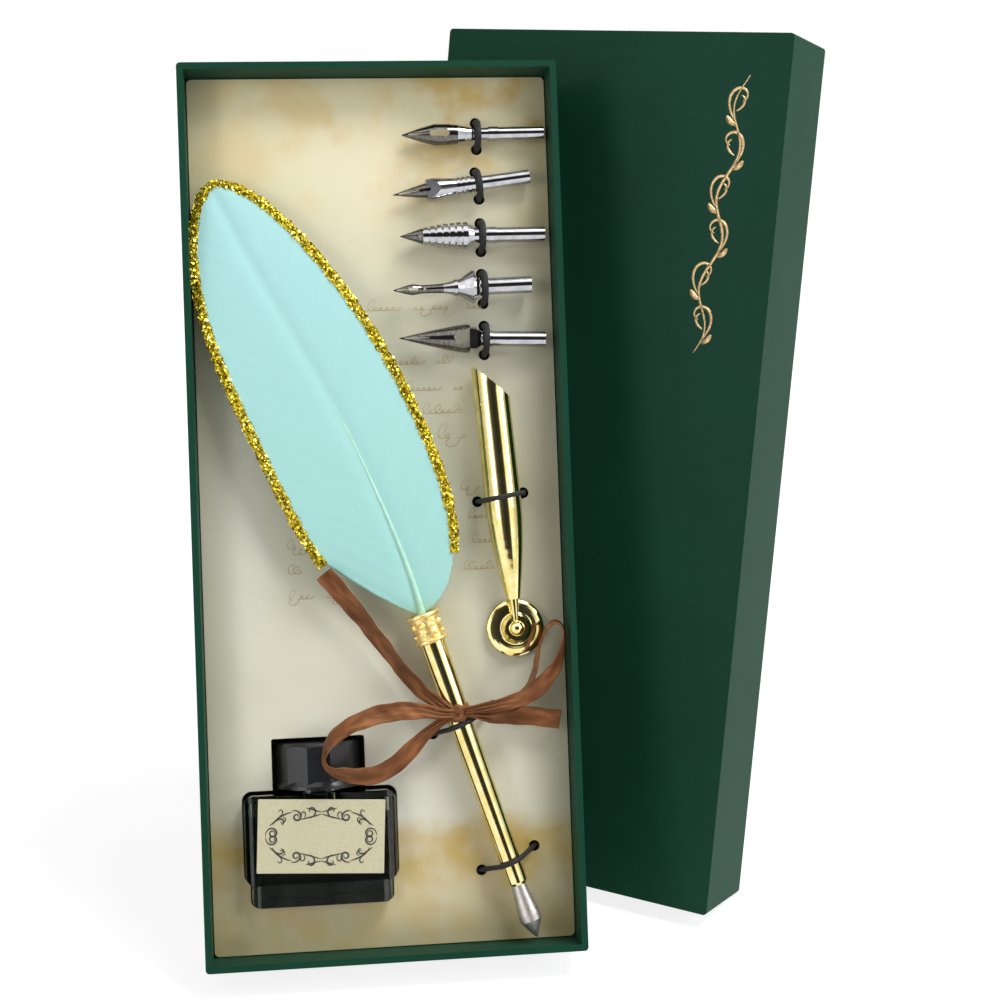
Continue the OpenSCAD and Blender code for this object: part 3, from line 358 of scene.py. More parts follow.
finish = {
    "green": embossedPaper(), "board": greyboard(), "card": printedCard(), "glass": pressedGlass(),
    "elastic": coveredElastic(), "barbs": dyedBarbs(), "satin": brownSatin(), "glitter": goldGlitter(),
    # dye-based black ink behind glass
    "ink": grained("blackWritingInk", "#060608", "#0b0b0e", 0.05, 0.0, Roughness=0.08, IOR=1.34),
    # uncoated cream label stock
    "label": grained("uncoatedLabelPaper", "#c6c09c", "#cfcaab", 1.6, 0.05, Roughness=0.7),
    # compression-moulded phenolic: glossy black with a dusty tooth
    "cap": grained("mouldedBlackPhenolic", "#141517", "#1d1e21", 0.7, 0.05, Roughness=0.3),
    # expanded polyethylene: matt white
    "foam": grained("whiteFoamLiner", "#d8d4c8", "#e6e2d8", 1.2, 0.3, Roughness=0.9),
    # brass tube, polished and gold plated: mirror bright with faint drawing marks
    "gold": grained("goldPlatedBrass", "#e4d183", "#f2e5ab", 0.25, 0.006, Metallic=1.0, Roughness=0.09),
    # zinc casting, tumbled and gold plated: warmer, darker in its hollows
    "castGold": grained("castGoldPlate", "#dcb048", "#fff1b8", 0.9, 0.6, Metallic=0.85, Roughness=0.42),
    # nickel-chrome plate over rolled steel
    "chrome": grained("chromedSteel", "#a9a9ad", "#c0c0c3", 0.3, 0.012, Metallic=1.0, Roughness=0.1),
    # hardened nib steel, tumbled: grey with rolling marks
    "nib": grained("rolledNibSteel", "#5b5955", "#787571", 1.1, 0.02, Metallic=1.0, Roughness=0.16),
    # stainless nib, matt from tumbling: pale grey
    "paleNib": grained("tumbledStainlessNib", "#b3adaa", "#cbc6c2", 1.1, 0.1, Metallic=0.9, Roughness=0.42),
    # injection-moulded ABS plug: black, half matt
    "feed": grained("mouldedBlackFeed", "#111111", "#1b1b1b", 1.0, 0.1, Roughness=0.5),
    # pressed wool felt: black and fuzzy
    "felt": grained("pressedBlackFelt", "#0e0e0e", "#222222", 2.4, 0.9, Roughness=0.95),
    # quill: hollow keratin, pale and waxy
    "quill": grained("waxyQuill", "#aadfcf", "#c3ead4", 0.4, 0.05, Roughness=0.38, Subsurface_Weight=0.1,
                     Subsurface_Radius=(0.001, 0.001, 0.001)),
    # stamped foil: pale gold, slightly broken over the paper's grain
    "foil": grained("stampedGoldFoil", "#bf9a62", "#e6c899", 1.6, 0.15, Metallic=0.55, Roughness=0.35),
    # screen-printed ink: dark grey, flat
    "print": grained("screenPrintedInk", "#35342f", "#4a483f", 2.0, 0.0, Roughness=0.6),
    # offset sepia on the platform card, faint
    "sepia": grained("offsetSepiaInk", "#c0a87d", "#ccb892", 1.2, 0.0, Roughness=0.65),
}

# which CAD nodes keep their shape and wear each finish
wears = {
    "board": ["tray_board", "lid_board"], "green": ["tray_wrap", "lid_wrap"], "card": ["insert_card"],
    "glass": ["bottle_glass"], "ink": ["ink"], "label": ["bottle_label"], "cap": ["bottle_cap"], "foam": ["cap_liner"],
    "gold": ["pen_barrel", "stand_base", "stand_collar", "stand_ball", "stand_tube"], "castGold": ["pen_ferrule"],
    "feed": ["nib_plug"], "paleNib": ["pen_nib"], "felt": ["stand_felt"],
    "elastic": ["stand_tie", "pen_tie_upper", "pen_tie_lower"] + ["nib_tie_" + k for k in "12345"],
    "nib": ["spare_point_" + k for k in "12345"], "chrome": ["spare_shank_" + k for k in "12345"]}
for key, names in wears.items():
    for name in names:
        slots = nodes[name].material_slots
        for slot in slots:
            slot.material = finish[key]
        if not slots:
            nodes[name].data.materials.append(finish[key])
print("finishes on", sum(len(names) for names in wears.values()), "nodes")

# x across and y along the feather from its base at the ferrule; its line is turned left, the pen's a little less
feather = {"base": (10.9, 104.1), "turn": 23.0, "penTurn": 17.6, "length": 146.0, "halfWidth": 25.2, "height": 26.6,
           "fullest": 0.42, "roundness": (2.8, 2.4, 0.6), "arch": 4.8, "archPower": 0.8, "droop": 0.5,
           "bend": 2.8, "bendFrom": 0.38, "bendOver": 0.5, "rows": 150, "columns": 42, "seed": 4,
           "underGlitter": (1.7, 1.8), "ragged": 0.05, "straightBelow": 0.19, "barbSlope": 1.25, "thickness": 0.3,
           "waves": (0.04, 0.02), "valley": (0.35, 2.2)}
shaft = {"bow": (6, 30), "tip": (-1, -3), "radius": 1.28, "taper": 0.45, "sunk": (0.1, 0.75),
         "quillRadius": 1.6, "quillFrom": 16.0, "quillTo": 2.5, "quillRings": 8, "rings": 90, "sides": 18}


def featherHalfWidth(t, width):
    # round at the base, fullest at 42% of the length, drawn in to the tip
    f, (low, high, draw) = feather["fullest"], feather["roundness"]
    below = np.sqrt(np.clip(1 - (np.clip(f - t, 0, None) / f) ** low, 0, 1))
    above = np.clip(1 - (np.clip(t - f, 0, None) / (1 - f)) ** high, 0, 1) ** draw
    return width * np.where(t < f, below, above)


def featherHeight(t, v):
    # a long arch from base to tip, drooping to both edges
    arch = feather["arch"] * np.sin(math.pi * np.clip(t, 0, 1) ** feather["archPower"])
    return feather["height"] + arch - feather["droop"] * v ** 2


def featherPlace(x, y, z):
    # the upper part bends to the left, and the chord is turned to the left of the tray's length
    f = feather
    u = np.clip((y / f["length"] - f["bendFrom"]) / f["bendOver"], 0, 1)
    x = x - f["bend"] * u * u * (3 - 2 * u)
    a = math.radians(f["turn"])
    return np.stack([f["base"][0] + x * math.cos(a) - y * math.sin(a),
                     f["base"][1] + x * math.sin(a) + y * math.cos(a), z], -1)


def shaftLine(u):
    # quadratic curve from the base to just under the tip, bowed to the right near the base
    bow, tip = shaft["bow"], shaft["tip"]
    return (2 * bow[0] * u * (1 - u) + tip[0] * u ** 2,
            2 * bow[1] * u * (1 - u) + (feather["length"] + tip[1]) * u ** 2)


def makeVane():
    # rows run up the feather, closer at both ends, and columns from edge to edge; barbs slope up from the shaft
    f = feather
    u = np.linspace(0, 1, f["rows"])
    t = (0.5 - 0.5 * np.cos(math.pi * (0.015 + 0.97 * u)))[:, None]
    v = np.linspace(-1, 1, f["columns"])[None, :]
    width = featherHalfWidth(t, f["halfWidth"] - f["underGlitter"][0])
    # barb lengths differ a little near the base, where no glitter holds them together
    rng = np.random.default_rng(f["seed"])
    ragged = 1 + f["ragged"] * rng.uniform(-1, 1, (f["rows"], 2)) * np.clip(1 - t / 0.1, 0, 1)
    # below the glitter the left edge runs straight to the ferrule
    straight = f["straightBelow"]
    trim = t / straight * featherHalfWidth(straight, 1.0) / np.maximum(featherHalfWidth(t, 1.0), 1e-3)
    edge = np.where(v < 0, ragged[:, :1] * (0.25 + 0.75 * np.minimum(1, trim)), ragged[:, 1:])
    x, y = v * width * edge, t * (f["length"] - f["underGlitter"][1]) + 0 * v
    fromShaft = x - np.interp(y, shaftLine(u)[1], shaftLine(u)[0])
    barb = y - f["barbSlope"] * np.abs(fromShaft)
    broad, fine = f["waves"]
    wave = broad * np.sin(barb * 0.9) * np.abs(v) + fine * np.sin(barb * 2.3 + 1.3) * v ** 2
    depth, reach = f["valley"]
    z = featherHeight(t, v) + wave - depth * np.exp(-(fromShaft / reach) ** 2)
    vane = makeMesh("feather_barbs", onTray(featherPlace(x, y, z)), gridFaces(*x.shape),
                    np.stack([barb, np.abs(fromShaft)], -1), finish["barbs"])
    thicken(vane, f["thickness"])
    return vane


def makeShaft():
    # tube along the shaft's line, sinking into the vane as it thins, and below it the quill in the ferrule
    f, h = feather, shaft
    u = np.linspace(0, 1, h["rings"])
    x, y = shaftLine(u)
    rachis = featherPlace(x, y, featherHeight(y / f["length"], 0) - h["sunk"][0] - h["sunk"][1] * u)
    a, n = math.radians(f["penTurn"]), h["quillRings"]
    s = np.linspace(h["quillFrom"], h["quillTo"], n)
    stem = np.stack([f["base"][0] + s * math.sin(a), f["base"][1] - s * math.cos(a), np.full(n, f["height"])], -1)
    radius = np.concatenate([np.full(n, h["quillRadius"]), h["radius"] * (0.12 + 0.88 * (1 - u ** h["taper"]))])
    points, faces, uv = roundTube(np.vstack([stem, rachis]), radius, h["sides"])
    return makeMesh("feather_rachis", onTray(points), faces, uv, finish["quill"], tidy=True)


for piece, node, slotName in ((makeVane(), "feather_vane", "feather"), (makeShaft(), "feather_shaft", "quill")):
    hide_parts(node)
    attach(piece, "quill_pen")

# glue bead and the flakes on it; sizes in mm, starts in degrees round the feather's outline
glitter = {"width": 3.0, "leftStart": 35.0, "rightEnd": 52.0, "rings": 420, "sides": 14, "wander": 0.14,
           "bead": (1.35, 0.42), "lumps": 0.1, "flakes": 6800, "size": (0.24, 0.52), "band": (1.52, 0.55),
           "tilt": 0.55, "beadTone": 0.35, "seed": 11}


def glitterLine(share):
    # runs inside the outline from the left of the base round the tip to the right of the base
    g, f = glitter, feather
    a = np.radians(-90 - g["leftStart"] + (180 + g["leftStart"] + g["rightEnd"]) * share)
    inner = np.abs(a) <= math.pi / 2
    t = np.where(inner, f["fullest"] + (1 - f["fullest"]) * np.cos(a),
                 f["fullest"] * (1 - np.sin(np.abs(a) - math.pi / 2)))
    inset = g["width"] / 2
    nearTip = np.clip(np.abs(a) / math.radians(1.5), 0, 1)
    x = np.where(a < 0, -1, 1) * featherHalfWidth(t, f["halfWidth"] - inset) * nearTip
    return featherPlace(x, t * (f["length"] - inset), featherHeight(t, 1.0) + 0 * x)


def makeGlitter():
    g = glitter
    rng = np.random.default_rng(g["seed"])
    line = glitterLine(np.linspace(0, 1, 900))
    # even steps along the edge, then a little wander in its width
    far = runningLength(line)
    even = np.linspace(0, far[-1], g["rings"])
    path = np.stack([np.interp(even, far, line[:, k]) for k in range(3)], -1)
    side, up = pathFrames(path)[1:]
    breadth = 1 + g["wander"] * np.sin(even * 0.9) * np.sin(even * 0.31 + 2)
    # glue bead: flat oval carried along the edge, lumpy
    a = np.linspace(0, 2 * math.pi, g["sides"], endpoint=False)
    lump = 1 + g["lumps"] * rng.standard_normal((len(path), g["sides"]))
    across, lift = np.cos(a) * lump * g["bead"][0] * breadth[:, None], np.sin(a) * lump * g["bead"][1]
    ring = path[:, None] + side[:, None] * across[..., None] + up[:, None] * lift[..., None]
    bead = makeMesh("glitter_bead", onTray(ring), gridFaces(len(path), g["sides"], wrapCols=True), None,
                    finish["glitter"], tidy=True)
    # flakes: small hexagons scattered over the bead and tipped at random
    n = g["flakes"]
    k = rng.integers(0, len(path) - 1, n)
    blend = rng.random(n)[:, None]
    centre = path[k] * (1 - blend) + path[k + 1] * blend
    angle = rng.uniform(-0.25 * math.pi, 1.25 * math.pi, n)
    out = rng.uniform(0.75, 1.1, n)[:, None]
    across = (np.cos(angle) * breadth[k] * g["band"][0])[:, None] * out
    lift = (np.sin(angle) * g["band"][1])[:, None] * out
    centre = centre + side[k] * across + up[k] * lift
    outward = side[k] * np.cos(angle)[:, None] * 0.5 + up[k] * (0.6 + 0.4 * np.sin(angle)[:, None])
    normal = unitRows(outward + g["tilt"] * rng.standard_normal((n, 3)))
    first = unitRows(np.cross(normal, rng.standard_normal((n, 3))))
    second = np.cross(normal, first)
    size = rng.uniform(*g["size"], n)[:, None, None]
    h = (np.arange(6) * math.pi / 3)[None, :, None]
    rim = centre[:, None] + size * (first[:, None] * np.cos(h) + second[:, None] * np.sin(h))
    flakes = makeMesh("glitter_flakes", onTray(rim), np.arange(n * 6).reshape(n, 6), None,
                      finish["glitter"], smooth=False)
    for piece, brightest in ((flakes, 1), (bead, g["beadTone"])):
        tone = piece.data.attributes.new("tone", "FLOAT", "FACE")
        tone.data.foreach_set("value", rng.uniform(0, brightest, len(piece.data.polygons)))
    return bead, flakes


for piece in makeGlitter():
    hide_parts("glitter_edge")
    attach(piece, "quill_pen")
print("feather made")

# satin bow: each route has x, y, z, tilt about the line, and share of the full width, all in the flat tray
ribbon = {
    "width": 6.0, "thickness": 0.28, "columns": 17, "steps": 14, "narrowest": 0.3,
    "pleats": 0.55, "cup": 0.22, "curl": 0.12, "creases": (0.13, 0.05),
    "tail_left": [(19.6, 73.7, 30.9, 0, .45), (15.4, 76.4, 29.9, 14, .6), (9.5, 80.9, 27.6, 34, .9),
                  (3.9, 87.6, 26.8, 46, 1), (-3.3, 97.6, 26.8, 42, 1), (-10.7, 107.6, 29.1, 26, 1),
                  (-18.6, 117.4, 31.2, 8, 1)],
    "loop_left": [(19.4, 73.6, 31.9, 0, .4), (14.4, 74.0, 31.8, -6, .6), (9, 74.8, 31.6, -12, .8),
                  (2.4, 75.0, 31.5, -18, 1), (-4.6, 74.0, 31.6, -26, 1), (-11.2, 71.8, 31.9, -36, 1),
                  (-16.2, 68.8, 32.3, -52, 1), (-19.4, 65.2, 32.7, -70, 1), (-20.4, 61.8, 32.8, -80, 1),
                  (-18.9, 58.9, 32.4, -66, 1), (-14.9, 57.1, 31.7, -42, 1), (-9.0, 56.0, 31.0, -24, 1),
                  (-3.0, 56.8, 30.7, -16, 1), (3.0, 60.6, 30.4, -14, .95), (8.8, 66.0, 30.3, -12, .75),
                  (13.8, 70.2, 31, -6, .5), (18.2, 72.6, 31.6, 0, .35)],
    "loop_right": [(21.8, 73.7, 31.9, 0, .4), (25.4, 73.7, 31.9, 0, .45), (31.5, 73.8, 31.0, 14, .65),
                   (37.6, 75.4, 30.0, 42, .85), (41.7, 78.8, 30.0, 68, 1), (43.8, 83.4, 30.4, 82, 1),
                   (45.2, 88.4, 30.9, 87, 1), (46.5, 93.8, 31.3, 88, 1), (48.3, 98.0, 31.5, 86, 1),
                   (51.0, 99.9, 31.6, 83, 1), (53.2, 98.4, 31.6, 80, 1), (53.5, 94.8, 31.6, 74, 1),
                   (52.4, 90.2, 31.6, 58, 1), (49.8, 85.2, 31.9, 40, 1), (45.4, 80.6, 32.6, 26, 1),
                   (39.8, 77.4, 33.2, 12, .85), (32.4, 75.6, 33.2, 0, .6), (22.6, 74.4, 32.6, 0, .35)],
    "tail_right": [(17.2, 73.9, 31.2, 0, .3), (21.8, 73.6, 31.1, 0, .4), (25.4, 73.3, 31.05, 0, .45),
                   (29, 72.2, 29.8, -4, .6), (33.4, 71.8, 27.6, -8, .85), (39.6, 71.6, 26.2, -8, 1),
                   (45.7, 70.9, 26.4, -4, 1), (52.2, 69.8, 27.2, 0, 1)]}


def makeRibbon(name):
    # strip across the route, tilted about it, pleated where it is gathered, its satin cupped and creased
    r = ribbon
    path = curveThrough(r[name], r["steps"])
    line, tilt, share = path[:, :3], np.radians(path[:, 3]), np.clip(path[:, 4], r["narrowest"], 1)
    side, up = pathFrames(line)[1:]
    flat = side * np.cos(tilt)[:, None] + up * np.sin(tilt)[:, None]
    out = up * np.cos(tilt)[:, None] - side * np.sin(tilt)[:, None]
    v = np.linspace(-1, 1, r["columns"])[None, :]
    # where the ribbon is gathered it pleats, so its own width stays about the same
    sway = 1.2 * np.sin(np.arange(len(path)) * 0.16)[:, None]
    pleat = r["pleats"] * (1 - share[:, None]) * np.cos(3 * math.pi * v + sway)
    far = runningLength(line)[:, None]
    # one edge curls a little, and long creases wander across the satin
    broad, fine = r["creases"]
    cup = r["cup"] * (v ** 2 - 0.4) + r["curl"] * v * np.sin(far * 0.35)
    cup = cup + broad * np.sin(0.5 * far + 2.6 * v) + fine * np.sin(1.3 * far - 3.4 * v + 1)
    halfWidth = r["width"] / 2 * share[:, None] * (0.97 + 0.03 * np.sin(0.8 * far + 2 * np.sign(v)))
    strip = line[:, None] + flat[:, None] * (v * halfWidth)[..., None] + out[:, None] * (pleat + cup)[..., None]
    uv = np.stack(np.broadcast_arrays(far, v * r["width"] / 2), -1)
    piece = makeMesh("ribbon_" + name + "_satin", onTray(strip), gridFaces(*strip.shape[:2]), uv, finish["satin"])
    thicken(piece, r["thickness"])
    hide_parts("ribbon_" + name)
    return piece, line, far[-1, 0]


bow = {name: makeRibbon(name) for name in ("tail_left", "loop_left", "loop_right", "tail_right")}

knot = {"down": 32.2, "bandRadius": (4.0, 0.22), "bandHalf": 1.85, "band": (20, 48), "top": (30, 60),
        "across": 3.3, "along": 2.7, "height": (4.85, 1.05), "folds": (0.07, 0.03)}


def penPlace(s, x, z):
    # s along the pen from the ferrule's top, x across it, z above its axis
    a = math.radians(feather["penTurn"])
    return np.stack([feather["base"][0] + s * math.sin(a) + x * math.cos(a),
                     feather["base"][1] - s * math.cos(a) + x * math.sin(a), feather["height"] + z], -1)


def makeKnot():
    # band: a flat oval turned round the barrel
    k = knot
    a = np.linspace(0, 2 * math.pi, k["band"][1], endpoint=False)[None, :]
    c = np.linspace(0, 2 * math.pi, k["band"][0], endpoint=False)[:, None]
    r = k["bandRadius"][0] + k["bandRadius"][1] * np.sin(c)
    s = k["down"] + k["bandHalf"] * np.cos(c) + 0 * a
    band = makeMesh("knot_band", onTray(penPlace(s, r * np.cos(a), r * np.sin(a))),
                    gridFaces(*k["band"], wrapRows=True, wrapCols=True),
                    np.stack(np.broadcast_arrays(a * 4, s), -1), finish["satin"], tidy=True)
    # top: a cushion, its rim waved into pleats and pinched at the middle
    u = np.linspace(0, 2 * math.pi, k["top"][1], endpoint=False)[None, :]
    w = np.linspace(-math.pi / 2, math.pi / 2, k["top"][0])[:, None]
    fold = 1 + k["folds"][0] * np.cos(5 * u + 2.2 * w) + k["folds"][1] * np.cos(9 * u)
    x = k["across"] * np.cos(w) * np.cos(u) * fold
    y = k["along"] * np.cos(w) * np.sin(u) * fold * (1 - 0.18 * np.cos(u) ** 2)
    z = k["height"][0] + k["height"][1] * np.sin(w) * (1 + 0.12 * np.cos(6 * u)) - 0.06 * x ** 2
    top = makeMesh("knot_top", onTray(penPlace(k["down"] + y, x, z)), gridFaces(*k["top"], wrapCols=True),
                   np.stack(np.broadcast_arrays(u * 3, w * 3), -1), finish["satin"], tidy=True)
    return band, top


for piece in makeKnot():
    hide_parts("ribbon_knot")
    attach(piece, "quill_pen")
for name, (piece, line, length) in bow.items():
    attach(piece, "quill_pen")
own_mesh(bow["loop_left"][0])
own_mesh(bow["loop_right"][0])
print("bow made:", {name: round(b[2], 1) for name, b in bow.items()})


def scrollPath(x, y, heading, length, bendStart, bendEnd, power=1.0, steps=60):
    # heading turns as the curvature eases from bendStart to bendEnd along the length
    s = np.linspace(0, 1, steps)
    bend = bendStart + (bendEnd - bendStart) * s ** power
    angle = math.radians(heading) + np.concatenate([[0], np.cumsum((bend[1:] + bend[:-1]) / 2)]) * length / (steps - 1)
    d = np.stack([np.cos(angle), np.sin(angle)], -1) * length / (steps - 1)
    return (x, y) + np.concatenate([[(0, 0)], np.cumsum((d[1:] + d[:-1]) / 2, axis=0)])


def strokeStrip(path, width):
    # pen stroke: thin at both ends, full in the middle
    d = unitRows(np.gradient(path, axis=0))
    n = np.stack([-d[:, 1], d[:, 0]], -1)
    s = np.linspace(0, 1, len(path))
    half = (width / 2 * (0.25 + 0.75 * np.sin(math.pi * s) ** 0.7))[:, None]
    return np.stack([path - n * half, path + n * half], 1)


printThickness = 0.04  # mm: foil and ink drawn thicker than they are, so that they stand clear of the paper


def drawStrokes(name, strokes, toWorld, level, material):
    # all strokes as one mesh, at one level over the paper
    points, faces, count = [], [], 0
    for path, width in strokes:
        faces.append(gridFaces(len(path), 2) + count)
        points.append(strokeStrip(path, width).reshape(-1, 2))
        count += len(path) * 2
    flat = np.vstack(points)
    spots = toWorld(np.column_stack([flat, np.full(len(flat), level)]))
    piece = makeMesh(name, spots, np.vstack(faces), None, material)
    thicken(piece, printThickness, 1)
    return piece


# a quarter of a traditional oval of scrolls: x, y, heading, length, first bend, last bend, power, width
labelArt = {"centre": (-22.0, 38.3), "turn": -3.0, "level": 28.83, "quarter": [
    (-16.6, 0.25, 96, 11.6, -0.46, -1.5, 1.4, 0.5), (-15.6, 3.3, 25, 6.6, 0.25, -2.0, 1.6, 0.5),
    (-14.6, 3.4, 66, 7.2, -0.22, -0.02, 1.0, 0.5), (-12.6, 6.1, 20, 3.6, 0.5, 2.4, 1.2, 0.36),
    (-8.9, 7.7, 10, 9.4, -0.25, -1.5, 1.0, 0.6), (-6.6, 5.0, 14, 6.8, -0.02, 0.06, 1.0, 0.42),
    (-5.2, 5.6, 50, 3.6, 0.5, 2.6, 1.2, 0.36), (-3.4, 5.5, 20, 6.4, 0.35, 1.7, 1.6, 0.5),
    (-12.4, 4.3, -20, 3.4, 0.5, 2.2, 1.2, 0.34), (-4.6, 8.5, -10, 4.7, -0.1, 0.12, 1.0, 0.42)]}


def labelStrokes():
    # the quarter mirrored to the right, and both mirrored down
    strokes = [(scrollPath(*scroll), width) for *scroll, width in labelArt["quarter"]]
    for flip in ((-1, 1), (1, -1)):
        strokes += [(path * flip, width) for path, width in strokes]
    return strokes


def onLabel(flat):
    # turned and moved to the label's place on the bottle
    a = math.radians(labelArt["turn"])
    x = flat[:, 0] * math.cos(a) - flat[:, 1] * math.sin(a) + labelArt["centre"][0]
    y = flat[:, 0] * math.sin(a) + flat[:, 1] * math.cos(a) + labelArt["centre"][1]
    return onTray(np.stack([x, y, flat[:, 2]], -1))


# a common vine: twigs spring from its stem by turns, each with lift, lean, length, first and last bend, power, width
foilArt = {"level": 30.0, "foot": (37.0, 178.0), "length": 86.0, "drift": 0.105, "wave": 28.0, "sway": 2.3,
           "stemWidth": 1.0, "curls": 6, "first": 8, "apart": 25, "twigs": [
               (0, -38, 19, 0.05, 0.62, 1.5, 0.95), (3.2, 62, 6.5, -0.1, -0.75, 1.3, 0.8),
               (-1, -75, 4.2, 0.25, 0.2, 1.0, 1.7)]}


def foilStrokes():
    # a stem that waves as it climbs, with its twigs to the right and left by turns
    f = foilArt
    y = np.linspace(0, f["length"], 160)
    x = f["foot"][0] + f["drift"] * y + f["sway"] * np.sin(2 * math.pi * y / f["wave"])
    stem = np.stack([x, f["foot"][1] + y], -1)
    strokes = [(stem, f["stemWidth"])]
    for k in range(f["curls"]):
        side = -1 if k % 2 else 1
        px, py = stem[f["first"] + f["apart"] * k]
        for lift, lean, length, bend, lastBend, power, width in f["twigs"]:
            twig = scrollPath(px, py + lift, 90 + lean * side, length, bend * side, lastBend * side, power)
            strokes.append((twig, width))
    return strokes


# each line of make-believe writing on the card: from x to x at height y, and its letter height
penLines = {"level": 21.01, "seed": 5, "width": 0.3, "spacing": 0.52, "wordGap": 0.9, "capital": 1.9,
            "letters": [0.55, 0.6, 0.7, 1.5, -1.1], "odds": [0.3, 0.25, 0.2, 0.15, 0.1], "lines": [
                (-3, 36, 197.6, 3.6), (3, 26, 180.8, 3.3), (8, 27, 172.6, 3.3), (13, 27, 165.4, 3.6),
                (17, 29, 157.6, 4.8), (24, 31, 141.5, 3.2), (26, 36, 132.6, 3.3), (27, 38, 125, 3.3),
                (24, 36, 116.8, 3.3), (-30, -19, 125, 3.2), (-30, -19, 117.4, 3.2), (-30, -4, 109.6, 3.3)]}


def penStrokes():
    # strings of slanted loops, short, tall or hanging at random: they look like a pen hand and spell nothing
    p = penLines
    rng = np.random.default_rng(p["seed"])
    strokes = []
    for x, end, y, height in p["lines"]:
        first = True
        while x < end - 3:
            step = height * p["spacing"]
            letters = min(int(rng.integers(3, 8)), int((end - x) / step))
            if letters < 2:
                break
            s = np.linspace(0, letters, letters * 14 + 1)
            k = np.minimum(s.astype(int), letters - 1)
            tall = rng.choice(p["letters"], letters, p=p["odds"])
            if first:
                tall[0], first = p["capital"], False
            turn = 2 * math.pi * (s - k)
            lift = tall[k] * (1 - np.cos(turn)) * height / 4
            sway = 0.32 * height * np.sin(turn) * np.sign(tall[k]) * (0.6 + 0.25 * np.abs(tall[k]))
            strokes.append((np.stack([x + step * s + sway + 0.5 * lift, y + lift], -1), p["width"]))
            x += step * letters + height * p["wordGap"]
    return strokes


for name, strokes, toWorld, art, material, body, slotName in (
        ("label_scrolls", labelStrokes(), onLabel, labelArt, "print", "ink_bottle", "label_paper"),
        ("lid_foil_vine", foilStrokes(), onLid, foilArt, "foil", "lid", "gold_metal"),
        ("card_pen_lines", penStrokes(), onTray, penLines, "sepia", "platform", "printed_card")):
    piece = drawStrokes(name, strokes, toWorld, art["level"], finish[material])
    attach(piece, body)
print("strokes drawn")

# metres and radians: the camera, what the floor shows it, the dome, and each lamp's place, size and watts
studio = {"focal": 1840.1, "place": (-0.07244, -0.57304, 0.29324), "pitch": 0.2753, "azimuth": -0.119, "roll": 0.0015,
          "floor": 6.0, "drop": 0.0002, "floorWhite": (0.84, 1.0), "whiteFrom": (0.25, 0.9),
          "dome": 0.3, "panels": 1.7, "backRoom": 0.6, "aim": (0.0, 0.0, 0.13),
          "lamps": {"key_top": ((0.5, -0.3, 1.3), (0.7, 0.5), 14), "front_left": ((-1.0, -0.95, 0.5), (0.4, 0.6), 3.5),
                    "side_right": ((1.15, -0.7, 0.75), (0.5, 0.6), 5)}}


def grey(level):
    return (level, level, level, 1)


def studioFloor():
    # pale paper sweep; what the camera sees of it is white apart from the object's shadow, and pure white far off
    m = bpy.data.materials.new("paleStudioFloor")
    m.use_nodes = True
    t = m.node_tree
    t.nodes.remove(t.nodes["Principled BSDF"])
    path = addNode(t, "LightPath", out=None)
    through = addNode(t, "Math", {0: path["Is Glossy Ray"], 1: path["Is Transmission Ray"]}, operation="MAXIMUM")
    seen = addNode(t, "Math", {0: path["Is Camera Ray"], 1: through}, operation="MAXIMUM")
    away = addNode(t, "VectorMath", {0: addNode(t, "TexCoord", out="Object")}, "Value", operation="LENGTH")
    (near, far), (low, high) = studio["whiteFrom"], studio["floorWhite"]
    strength = addNode(t, "MapRange", {"Value": away, "From Min": near, "From Max": far, "To Min": low, "To Max": high})
    glow = addNode(t, "Emission", {"Color": grey(1), "Strength": strength})
    lit = addNode(t, "AddShader", {0: addNode(t, "BsdfDiffuse", {"Color": grey(0.35)}), 1: glow})
    mix = addNode(t, "MixShader", {0: seen, 1: addNode(t, "BsdfDiffuse", {"Color": grey(0.8)}), 2: lit})
    t.links.new(mix, t.nodes["Material Output"].inputs["Surface"])
    r, z = studio["floor"], -studio["drop"]
    makeMesh("studio_floor", [(-r, -r, z), (r, -r, z), (r, r, z), (-r, r, z)], [(0, 1, 2, 3)], None, m, False)


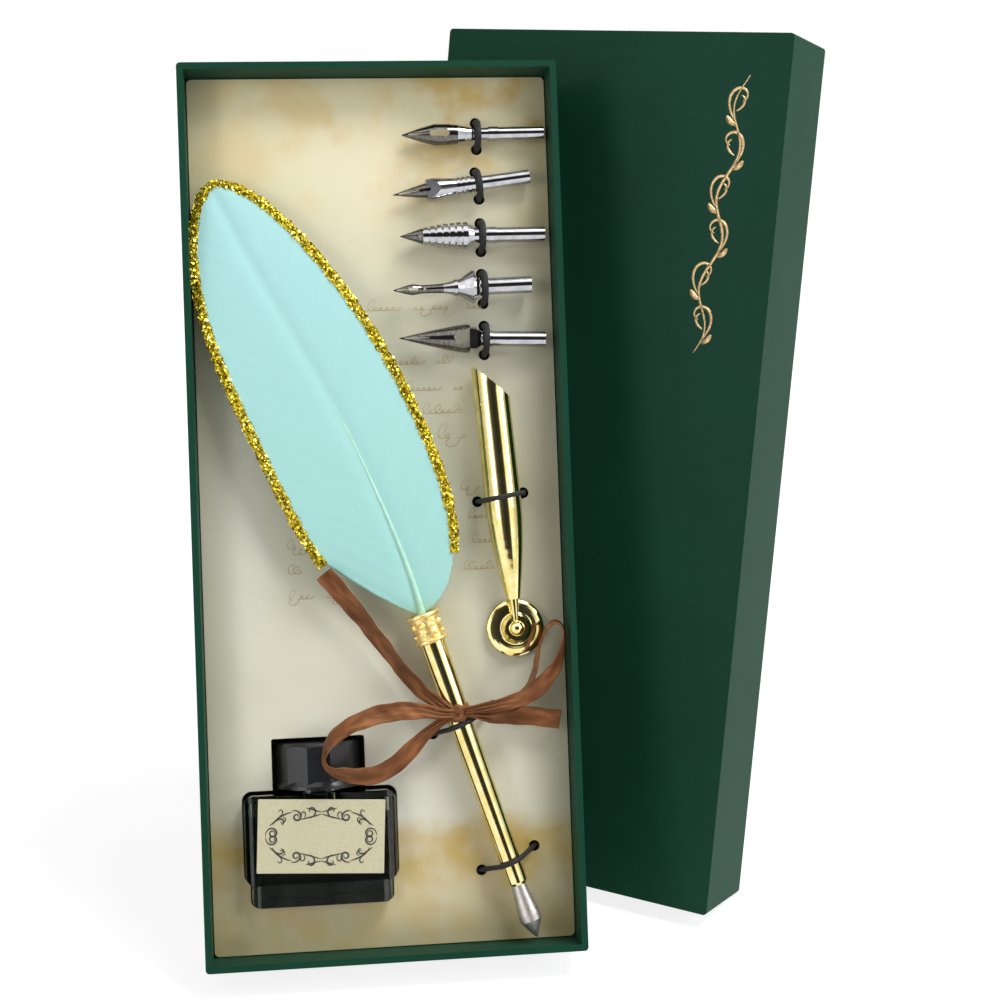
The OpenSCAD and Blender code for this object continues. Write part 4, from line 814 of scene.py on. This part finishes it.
def studioWorld():
    # plain grey dome for light; in reflections a dark room behind the camera, with bright panels left, right and above
    world = bpy.data.worlds.new("studio")
    bpy.context.scene.world = world
    world.use_nodes = True
    t = world.node_tree
    path = addNode(t, "LightPath", out=None)
    d = addNode(t, "SeparateXYZ", {"Vector": addNode(t, "TexCoord", out="Generated")}, None)
    # brightness from left to right, and from below to above
    bands = {"X": [(0.0, 0.35), (0.1, 1.0), (0.2, 0.8), (0.29, 0.05), (0.5, 0.015), (0.69, 0.03), (0.76, 0.9),
                   (0.88, 0.75), (1.0, 0.3)],
             "Z": [(0.0, 0.5), (0.2, 0.45), (0.27, 0.0), (0.84, 0.0), (0.89, 1.0), (1.0, 0.9)]}
    walls = []
    for axis, stops in bands.items():
        share = addNode(t, "Math", {0: d[axis], 1: 0.5, 2: 0.5}, operation="MULTIPLY_ADD")
        walls.append(addNode(t, "ValToRGB", {"Fac": share}, "Color", stops))
    front = addNode(t, "MapRange", {"Value": d["Y"], "From Min": -0.05, "From Max": 0.15, "To Min": 1.0, "To Max": 0.0})
    bright = addNode(t, "Math", {0: path["Is Camera Ray"], 1: path["Is Transmission Ray"]}, operation="MAXIMUM")
    # the panels are brighter than white paper, so that polished metal clips as it does under real softboxes
    color = walls[0]
    for factor, first, second, blend in (
            (1.0, None, walls[1], "LIGHTEN"), (1.0, None, grey(studio["panels"]), "MULTIPLY"),
            (front, grey(studio["backRoom"]), None, "MIX"),
            (path["Is Glossy Ray"], grey(studio["dome"]), None, "MIX"), (bright, None, grey(1), "MIX")):
        values = {"Factor": factor, "A": color if first is None else first, "B": color if second is None else second}
        color = addNode(t, "Mix", values, "Result", data_type="RGBA", blend_type=blend)
    t.links.new(color, t.nodes["Background"].inputs["Color"])


def placed(name, data, side, up, back, place):
    # an object whose own x, y and z axes point to side, up and back
    holder = bpy.data.objects.new(name, data)
    m = np.eye(4)
    m[:3, 0], m[:3, 1], m[:3, 2], m[:3, 3] = side, up, back, place
    holder.matrix_world = Matrix(m.tolist())
    bpy.context.scene.collection.objects.link(holder)
    return holder


def softbox(name, place, size, power):
    lamp = bpy.data.lights.new(name, "AREA")
    lamp.shape = "RECTANGLE"
    lamp.size, lamp.size_y = size
    lamp.energy = power
    d = np.array(studio["aim"]) - np.array(place)
    d /= np.linalg.norm(d)
    side = np.cross(d, (0, 0, 1.0))
    side /= np.linalg.norm(side)
    placed(name, lamp, side, np.cross(side, d), -d, place)


def studioCamera():
    # pitched down, turned about the upright, then rolled a touch about its own line of sight
    c = studio
    pitch, turned, roll = c["pitch"], c["azimuth"], c["roll"]
    turn = np.array([[math.cos(turned), -math.sin(turned), 0], [math.sin(turned), math.cos(turned), 0], [0, 0, 1]])
    forward = turn @ np.array([0, math.cos(pitch), -math.sin(pitch)])
    level = turn @ np.array([1.0, 0, 0])
    down = np.cross(forward, level)
    right = level * math.cos(roll) + down * math.sin(roll)
    down = down * math.cos(roll) - level * math.sin(roll)
    lens = bpy.data.cameras.new("camera")
    lens.sensor_fit = "HORIZONTAL"
    lens.sensor_width = 36
    lens.lens = lens.sensor_width * c["focal"] / 1000  # focal length in pixels of the 1000 pixel frame
    lens.clip_start, lens.clip_end = 0.01, 50
    bpy.context.scene.camera = placed("camera", lens, right, -down, -forward, c["place"])


studioFloor()
studioWorld()
for name, lampSetup in studio["lamps"].items():
    softbox(name, *lampSetup)
studioCamera()
bpy.context.scene.view_settings.view_transform = "Standard"
print("studio ready")
